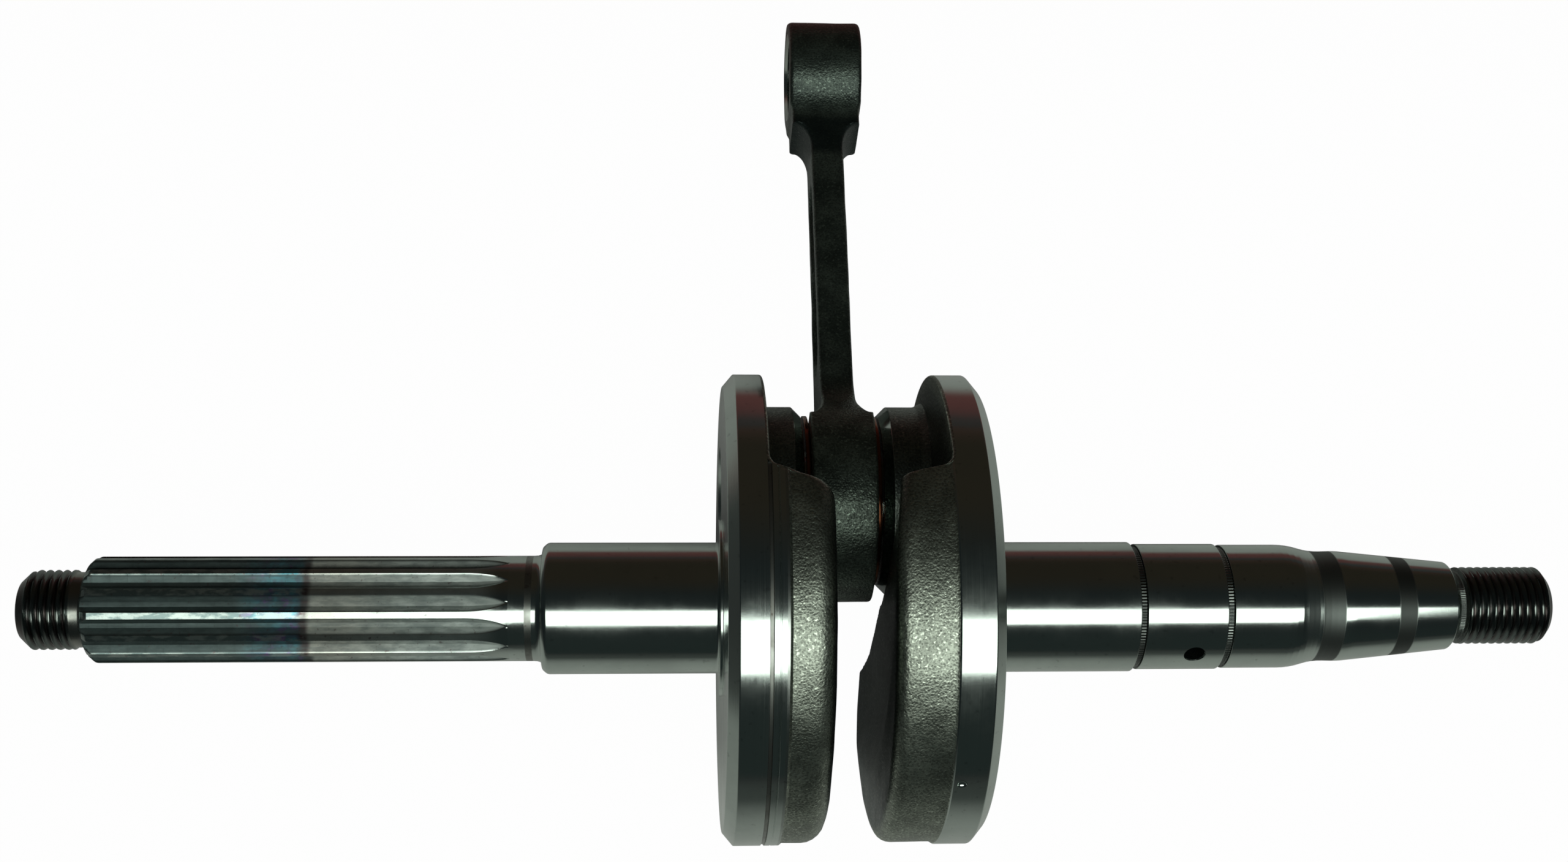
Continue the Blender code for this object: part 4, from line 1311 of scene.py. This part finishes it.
class MESH_OT_crank_pin(bpy.types.Operator):
    """Makes the crank pin"""

    bl_idname = "mesh.crank_pin"
    bl_label = "Crank pin"

    def execute(self, context):
        chamfer = 0.8 * MM
        edge = 0.15 * MM
        rows = [
            (PIN_LOW.x, 0.0, 0.0, "turned"),
            (PIN_LOW.x, PIN_RADIUS - chamfer, edge, "turned"),
            (PIN_LOW.x + chamfer, PIN_RADIUS, edge, "ground"),
            (PIN_HIGH.x - chamfer, PIN_RADIUS, edge, "turned"),
            (PIN_HIGH.x, PIN_RADIUS - chamfer, edge, "turned"),
            (PIN_HIGH.x, 0.0, 0.0, "turned"),
        ]
        rgb = context.scene.crank_colours.steel
        steel = made_once(ground_finish, "ground_pin", rgb, 0.12, 0.1 * MM, PIN)
        piece = plain_piece("pin", turned_mesh("pin", rows, PIN_PLACE), steel)
        finished(piece, "crank", "crank_pin")
        return {"FINISHED"}


class MESH_OT_crank_washers(bpy.types.Operator):
    """Makes the two copper thrust washers"""

    bl_idname = "mesh.crank_washers"
    bl_label = "Thrust washers"

    def execute(self, context):
        copper = made_once(copper_finish, "copper_plate", context.scene.crank_colours.copper)
        outer = (WASHER_HIGH.z - WASHER_LOW.z) / 2
        bore = PIN_RADIUS + 0.3 * MM
        for side in ("drive", "ignition"):
            name = "washer_" + side
            node = "thrust_washer_" + side
            low, high = (corner.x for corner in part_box(node))
            piece = plain_piece(name, flat_ring(name, low, high, bore, outer, 0.12 * MM), copper)
            finished(piece, side + "_washer", node)
        return {"FINISHED"}


class MESH_OT_crank_bearing(bpy.types.Operator):
    """Makes the big-end needle bearing: the cage and its rollers"""

    bl_idname = "mesh.crank_bearing"
    bl_label = "Big-end bearing"

    def execute(self, context):
        colours = context.scene.crank_colours
        names = sorted(name for name in frame["nodes"] if name.startswith("needle_roller_"))
        labels = [f"needle_{k + 1:02d}" for k in range(len(names))]
        centres = [Vector(JOINTS[label + "_spin"]["pos_m"]) for label in labels]
        needle_length = NEEDLE_HIGH.x - NEEDLE_LOW.x
        radius = (NEEDLE_HIGH.z - NEEDLE_LOW.z) / 2
        circle = (centres[0] - PIN).length
        wall = 1.7 * MM
        room = 0.6 * MM
        blank = flat_ring("cage", -CAGE_HALF, CAGE_HALF, circle - wall / 2, circle + wall / 2, 0.15 * MM)
        cage = new_object("cage", blank)
        plating = made_once(forged_finish, "plated_cage", colours.cage, 0.3 * MM, 0.01 * MM, 0.3)
        pocket = Vector((needle_length + room, 2 * radius + room, wall + 2.0 * MM))
        run_tree(cage, cage_tree(), {
            "Count": len(names), "Circle": circle, "Pocket": pocket, "Centre": PIN, "Turn": CRANK_TURN,
            "Finish": plating})
        finished(cage, "cage", "big_end_cage")
        steel = made_once(ground_finish, "ground_needle", colours.steel, 0.1, 0.1 * MM, PIN)
        tree = needle_tree()
        for label, node, centre in zip(labels, names, centres):
            piece = new_object(label, bpy.data.meshes.new(label))
            run_tree(piece, tree, {
                "Length": needle_length, "Radius": radius, "End": 0.4 * MM, "Centre": centre,
                "Finish": steel})
            finished(piece, label, node)
        return {"FINISHED"}


# Connecting rod, with places along it from the pin


BIG_HALF, SHANK_HALF, NECK_HALF, EYE_HALF = mm(4.95, 2.72, 5.75, 6.15)
BIG_FLARE = mm(9.8, 14.4)
EYE_FLARE = (ROD_LENGTH - 17.4 * MM, ROD_LENGTH - 12.4 * MM)

# Points of a section: on its face, on a rounded corner and on its side
FACE_POINTS, CORNER_POINTS, SIDE_POINTS = 29, 6, 15
CHANNEL_DEPTH = 1.0 * MM


def rod_outline():
    """Half width of the rod seen along the pin, as points (along, half width) from the big end upwards."""
    low_half, high_half = mm(6.5, 5.25)
    low_blend, high_blend = mm(9.0, 8.0)

    def blend(radius, fillet, half):
        across = half + fillet
        return across, sqrt((radius + fillet) ** 2 - across ** 2)

    def arc(along, across, radius, start, end, count):
        angles = np.linspace(start, end, count)
        return [(along + radius * sin(a), across + radius * cos(a)) for a in angles]

    low_across, low_along = blend(BIG_END_RADIUS, low_blend, low_half)
    high_across, high_along = blend(EYE_RADIUS, high_blend, high_half)
    low_angle = atan2(low_along, low_across)
    high_angle = atan2(high_along, high_across)
    points = arc(0.0, 0.0, BIG_END_RADIUS, -pi / 2, low_angle, 60)
    points += arc(low_along, low_across, low_blend, low_angle + pi, pi, 16)[1:]
    points += arc(ROD_LENGTH - high_along, high_across, high_blend, pi, pi - high_angle, 16)
    points += arc(ROD_LENGTH, 0.0, EYE_RADIUS, -high_angle, pi / 2, 44)[1:]
    return np.array(points)


def flared(thick, reach):
    """Half thickness on the hollow round of a flare, with reach 1 at its thick end."""
    return thick - (thick - SHANK_HALF) * sqrt(1.0 - reach * reach)


def rod_thickness(along):
    """Half thickness of the rod along the pin's direction."""
    if along <= BIG_FLARE[0]:
        return BIG_HALF
    if along < BIG_FLARE[1]:
        return flared(BIG_HALF, (BIG_FLARE[1] - along) / (BIG_FLARE[1] - BIG_FLARE[0]))
    if along <= EYE_FLARE[0]:
        return SHANK_HALF
    if along < EYE_FLARE[1]:
        return flared(NECK_HALF, (along - EYE_FLARE[0]) / (EYE_FLARE[1] - EYE_FLARE[0]))
    return NECK_HALF + (EYE_HALF - NECK_HALF) * smooth(along - EYE_FLARE[1], 2.6 * MM, 1.6 * MM)


def rod_stations(outline):
    """Places along the rod where its section is taken, closer together at the flares."""
    low, high = outline[0, 0], outline[-1, 0]
    arcs = 1.0 - np.cos(np.linspace(0.0, pi / 2, 13))
    flares = np.concatenate([BIG_FLARE[0] + (BIG_FLARE[1] - BIG_FLARE[0]) * arcs,
                             EYE_FLARE[1] - (EYE_FLARE[1] - EYE_FLARE[0]) * arcs])
    corners = np.array([BIG_FLARE[0] - 0.02 * MM, EYE_FLARE[1] + 0.02 * MM])
    even = np.arange(low, high, 0.7 * MM)
    inside = np.concatenate([outline[1:-1, 0], flares, corners, even])
    inside = np.sort(inside[(inside > low + 0.01 * MM) & (inside < high - 0.01 * MM)])
    inside = inside[np.concatenate([[True], np.diff(inside) > 0.015 * MM])]
    return np.concatenate([[low], inside, [high]])


def channel_share(across, along):
    """How far a point lies in the shank's side channel, from 0 at its edge to 1 on its floor."""
    low, high = 22.2 * MM, ROD_LENGTH - 22.5 * MM
    low_half, high_half = mm(4.6, 3.35)
    half = low_half + (high_half - low_half) * np.clip((along - low) / (high - low), 0.0, 1.0)
    over = max(0.0, low + low_half - along, along - high + high_half)
    return smooth(half - np.hypot(across, over), 0.0, 0.9 * MM)


def rod_section(along, half, thick, edge):
    """Points of one section of the rod (pin direction, across), round a rectangle with rounded corners."""
    edge = min(edge, 0.9 * half, 0.9 * thick)
    flat = np.linspace(-1.0, 1.0, FACE_POINTS) * (half - edge)
    face = thick - CHANNEL_DEPTH * channel_share(flat, along)
    arc = np.linspace(0.0, pi / 2, CORNER_POINTS)[1:-1]
    side = np.linspace(1.0, -1.0, SIDE_POINTS) * (thick - edge)
    top = np.stack([face, flat], axis=-1)
    turn = np.stack([thick - edge + edge * np.cos(arc), half - edge + edge * np.sin(arc)], axis=-1)
    near = np.stack([side, np.full(side.shape, half)], axis=-1)
    back = np.stack([-thick + edge - edge * np.sin(arc), half - edge + edge * np.cos(arc)], axis=-1)
    first = np.concatenate([top, turn, near, back])
    return np.concatenate([first, -first])


class MESH_OT_crank_rod(bpy.types.Operator):
    """Makes the connecting rod"""

    bl_idname = "mesh.crank_rod"
    bl_label = "Connecting rod"

    def execute(self, context):
        outline = rod_outline()
        rows = []
        for along in rod_stations(outline):
            half = max(0.0, float(np.interp(along, outline[:, 0], outline[:, 1])))
            edge = float(np.interp(along, mm(10.0, 20.0), mm(0.4, 0.8)))
            section = rod_section(along, half, rod_thickness(along), edge)
            rows.append(np.column_stack([section, np.full(len(section), along)]))
        mesh = grid_mesh("rod", np.array(rows), ["forged"] * len(rows), [1.0] * len(rows), ROD_PLACE)
        finishes = crank_finishes(context)
        # The rod's skin is darker on its shank and eye, with painted shade at the eye's flare
        finishes["forged"] = made_once(
            forged_finish, "forged_rod", context.scene.crank_colours.rod, 0.37 * MM, 0.085 * MM, 0.31,
            scale=rod_darkening_and_painted_shade, metallic=0.78, tones=(0.5, 1.25))
        piece = dressed(context, "rod", mesh, finishes)
        for radius, reach, height in ((11.6 * MM, BIG_HALF, 0.0), (7.0 * MM, EYE_HALF, ROD_LENGTH)):
            combined(piece, self.bore(radius, reach, height), "DIFFERENCE")
        finished(piece, "rod", "connecting_rod")
        return {"FINISHED"}

    def bore(self, radius, reach, height):
        """A ground bore with a chamfer at each face."""
        chamfer = 0.5 * MM
        past = 1.0 * MM
        rows = [
            (-reach - past, 0.0, 0.0, "turned"),
            (-reach - past, radius + chamfer + past, 0.0, "turned"),
            (-reach + chamfer, radius, 0.0, "ground"),
            (reach - chamfer, radius, 0.0, "turned"),
            (reach + past, radius + chamfer + past, 0.0, "turned"),
            (reach + past, 0.0, 0.0, "turned"),
        ]
        return turned_mesh("rod_bore", rows, ROD_PLACE @ Matrix.Translation((0.0, 0.0, height)))


# Stage


CAMERA_PLACE = mm(-27.37, -24.32, 299.01)
CAMERA_TURN = (radians(9.852), radians(-3.472), radians(-0.464))
CAMERA_LENS = 44.67
CAMERA_NEAR = 0.01
SOFTBOX_PLACE = (0.085, -0.2625, 0.6)
SOFTBOX_TINT = (0.95, 1.0, 0.94)
FLOOR_HALF = 2.0
WHITE = (1.0, 1.0, 1.0, 1.0)

# Tones of the floor and the room where the metal reflects them, and where each tone of the floor begins and
# is full
FLOOR_BEHIND = (0.28, 0.045, 0.04, 1.0)
FLOOR_FAR = (0.09, 0.035, 0.03, 1.0)
FLOOR_ROUND = (0.05, 0.06, 0.055, 1.0)
BEHIND_FROM = (0.085, 0.13)
FAR_FROM = (0.2, 0.5)
FRONT_FROM = (-0.02, -0.22)
SIDES_FROM = (0.13, 0.27)
ROOM_OVERHEAD = (0.75, 0.95, 1.0, 1.0)
ROOM_BEHIND = (1.3, 1.05, 0.75, 1.0)
ROOM_LOW = (2.6, 1.5, 1.2, 1.0)
ROOM_FRONT = (1.2, 1.6, 1.55, 1.0)

# How much of the floor's plain white the camera sees, and how much the metal reflects
WHITE_SEEN = 0.985
WHITE_REFLECTED = 0.03


def floor_material(rgb):
    """A matt floor, white to the camera and with a soft shadow; the metal reflects its dark outer parts."""
    material = bpy.data.materials.new("pale_floor")
    material.use_nodes = True
    graph = Graph(material.node_tree)
    shader = material.node_tree.nodes["Principled BSDF"]
    shader.inputs["Roughness"].default_value = 0.9
    shader.inputs["Specular IOR Level"].default_value = 0.0
    along, across, _ = graph.split(object_place(graph))
    sides = along.math("ABSOLUTE").between(*SIDES_FROM)
    tone = graph.coated(
        solid(rgb),
        (across.between(*BEHIND_FROM), FLOOR_BEHIND),
        (across.between(*FAR_FROM), FLOOR_FAR),
        (across.between(*FRONT_FROM).math("MAXIMUM", sides), FLOOR_ROUND))
    graph.feed(shader.inputs["Base Color"], tone)
    light = graph.node("ShaderNodeLightPath")
    camera = Field(graph, light.outputs["Is Camera Ray"])
    glossy = Field(graph, light.outputs["Is Glossy Ray"])
    mirrored = glossy.math("MAXIMUM", light.outputs["Is Transmission Ray"])
    share = camera * WHITE_SEEN + mirrored * WHITE_REFLECTED
    glow = graph.make("ShaderNodeEmission", {"Color": WHITE, "Strength": 1.0})
    mixed = graph.make("ShaderNodeMixShader", {0: share, 1: shader.outputs[0], 2: glow})
    graph.feed(material.node_tree.nodes["Material Output"].inputs["Surface"], mixed)
    return material


def make_room(world, level):
    """A dim room: cool overhead, warm behind the crank and low down there, white where the camera sees it."""
    world.use_nodes = True
    world.node_tree.nodes.clear()
    graph = Graph(world.node_tree)
    _, across, up = graph.split(graph.make("ShaderNodeTexCoord", {}, "Generated"))
    behind = across.between(0.2, 0.8)
    tone = graph.coated(
        ROOM_OVERHEAD,
        (behind, ROOM_BEHIND),
        (behind * up.between(0.2, -0.1), ROOM_LOW),
        ((-across).between(0.55, 1.0), ROOM_FRONT))
    seen = graph.make("ShaderNodeLightPath", {}, "Is Camera Ray")
    room = graph.make("ShaderNodeBackground", {"Color": tone, "Strength": level})
    white = graph.make("ShaderNodeBackground", {"Color": WHITE, "Strength": 1.0})
    mixed = graph.make("ShaderNodeMixShader", {0: seen, 1: room, 2: white})
    graph.feed(graph.node("ShaderNodeOutputWorld").inputs["Surface"], mixed)


class SCENE_OT_crank_stage(bpy.types.Operator):
    """Makes the pale floor, the softbox, the room and the camera"""

    bl_idname = "scene.crank_stage"
    bl_label = "Stage"

    def execute(self, context):
        studio = context.scene.crank_studio
        scene = context.scene
        floor_mesh = bpy.data.meshes.new("floor")
        corners = [(x * FLOOR_HALF, y * FLOOR_HALF, BENCH) for x, y in ((-1, -1), (1, -1), (1, 1), (-1, 1))]
        floor_mesh.from_pydata(corners, [], [(0, 1, 2, 3)])
        floor_mesh.materials.append(floor_material(studio.floor))
        new_object("floor", floor_mesh)
        lamp = bpy.data.lights.new("softbox", "AREA")
        lamp.shape = "RECTANGLE"
        lamp.size = studio.softbox_length
        lamp.size_y = studio.softbox_width
        lamp.energy = studio.softbox * pi * studio.softbox_length * studio.softbox_width
        lamp.color = SOFTBOX_TINT
        softbox = new_object("softbox", lamp)
        softbox.location = SOFTBOX_PLACE
        scene.world = bpy.data.worlds.new("room")
        make_room(scene.world, studio.room)
        camera = bpy.data.cameras.new("camera")
        camera.lens = CAMERA_LENS
        camera.clip_start = CAMERA_NEAR
        viewer = new_object("camera", camera)
        viewer.location = CAMERA_PLACE
        viewer.rotation_euler = CAMERA_TURN
        scene.camera = viewer
        scene.view_settings.view_transform = "Standard"
        return {"FINISHED"}


class VIEW3D_PT_crank(bpy.types.Panel):
    """Lists the crankshaft's pieces and their sizes"""

    bl_idname = "VIEW3D_PT_crank"
    bl_label = "Crankshaft"
    bl_space_type = "VIEW_3D"
    bl_region_type = "UI"
    bl_category = "Crankshaft"

    def draw(self, context):
        for operator in OPERATORS:
            self.layout.operator(operator.bl_idname)
        for name in GROUPS:
            box = self.layout.box()
            group = getattr(context.scene, name)
            for key in group.bl_rna.properties.keys():
                if key not in ("rna_type", "name"):
                    box.prop(group, key)


GROUPS = {"crank_sizes": CrankSizes, "crank_colours": CrankColours, "crank_studio": CrankStudio}
OPERATORS = (
    SCENE_OT_crank_stage,
    MESH_OT_crank_drive_half,
    MESH_OT_crank_ignition_half,
    MESH_OT_crank_rod,
    MESH_OT_crank_pin,
    MESH_OT_crank_washers,
    MESH_OT_crank_bearing,
)


def register():
    for group in GROUPS.values():
        bpy.utils.register_class(group)
    for name, group in GROUPS.items():
        setattr(bpy.types.Scene, name, bpy.props.PointerProperty(type=group))
    for made in (*OPERATORS, VIEW3D_PT_crank):
        bpy.utils.register_class(made)


def unregister():
    for made in (VIEW3D_PT_crank, *reversed(OPERATORS)):
        bpy.utils.unregister_class(made)
    for name, group in GROUPS.items():
        delattr(bpy.types.Scene, name)
        bpy.utils.unregister_class(group)


def main():
    register()
    bpy.ops.scene.crank_stage()
    bpy.ops.mesh.crank_drive_half()
    bpy.ops.mesh.crank_ignition_half()
    bpy.ops.mesh.crank_rod()
    bpy.ops.mesh.crank_pin()
    bpy.ops.mesh.crank_washers()
    bpy.ops.mesh.crank_bearing()


if __name__ == "__main__":
    main()
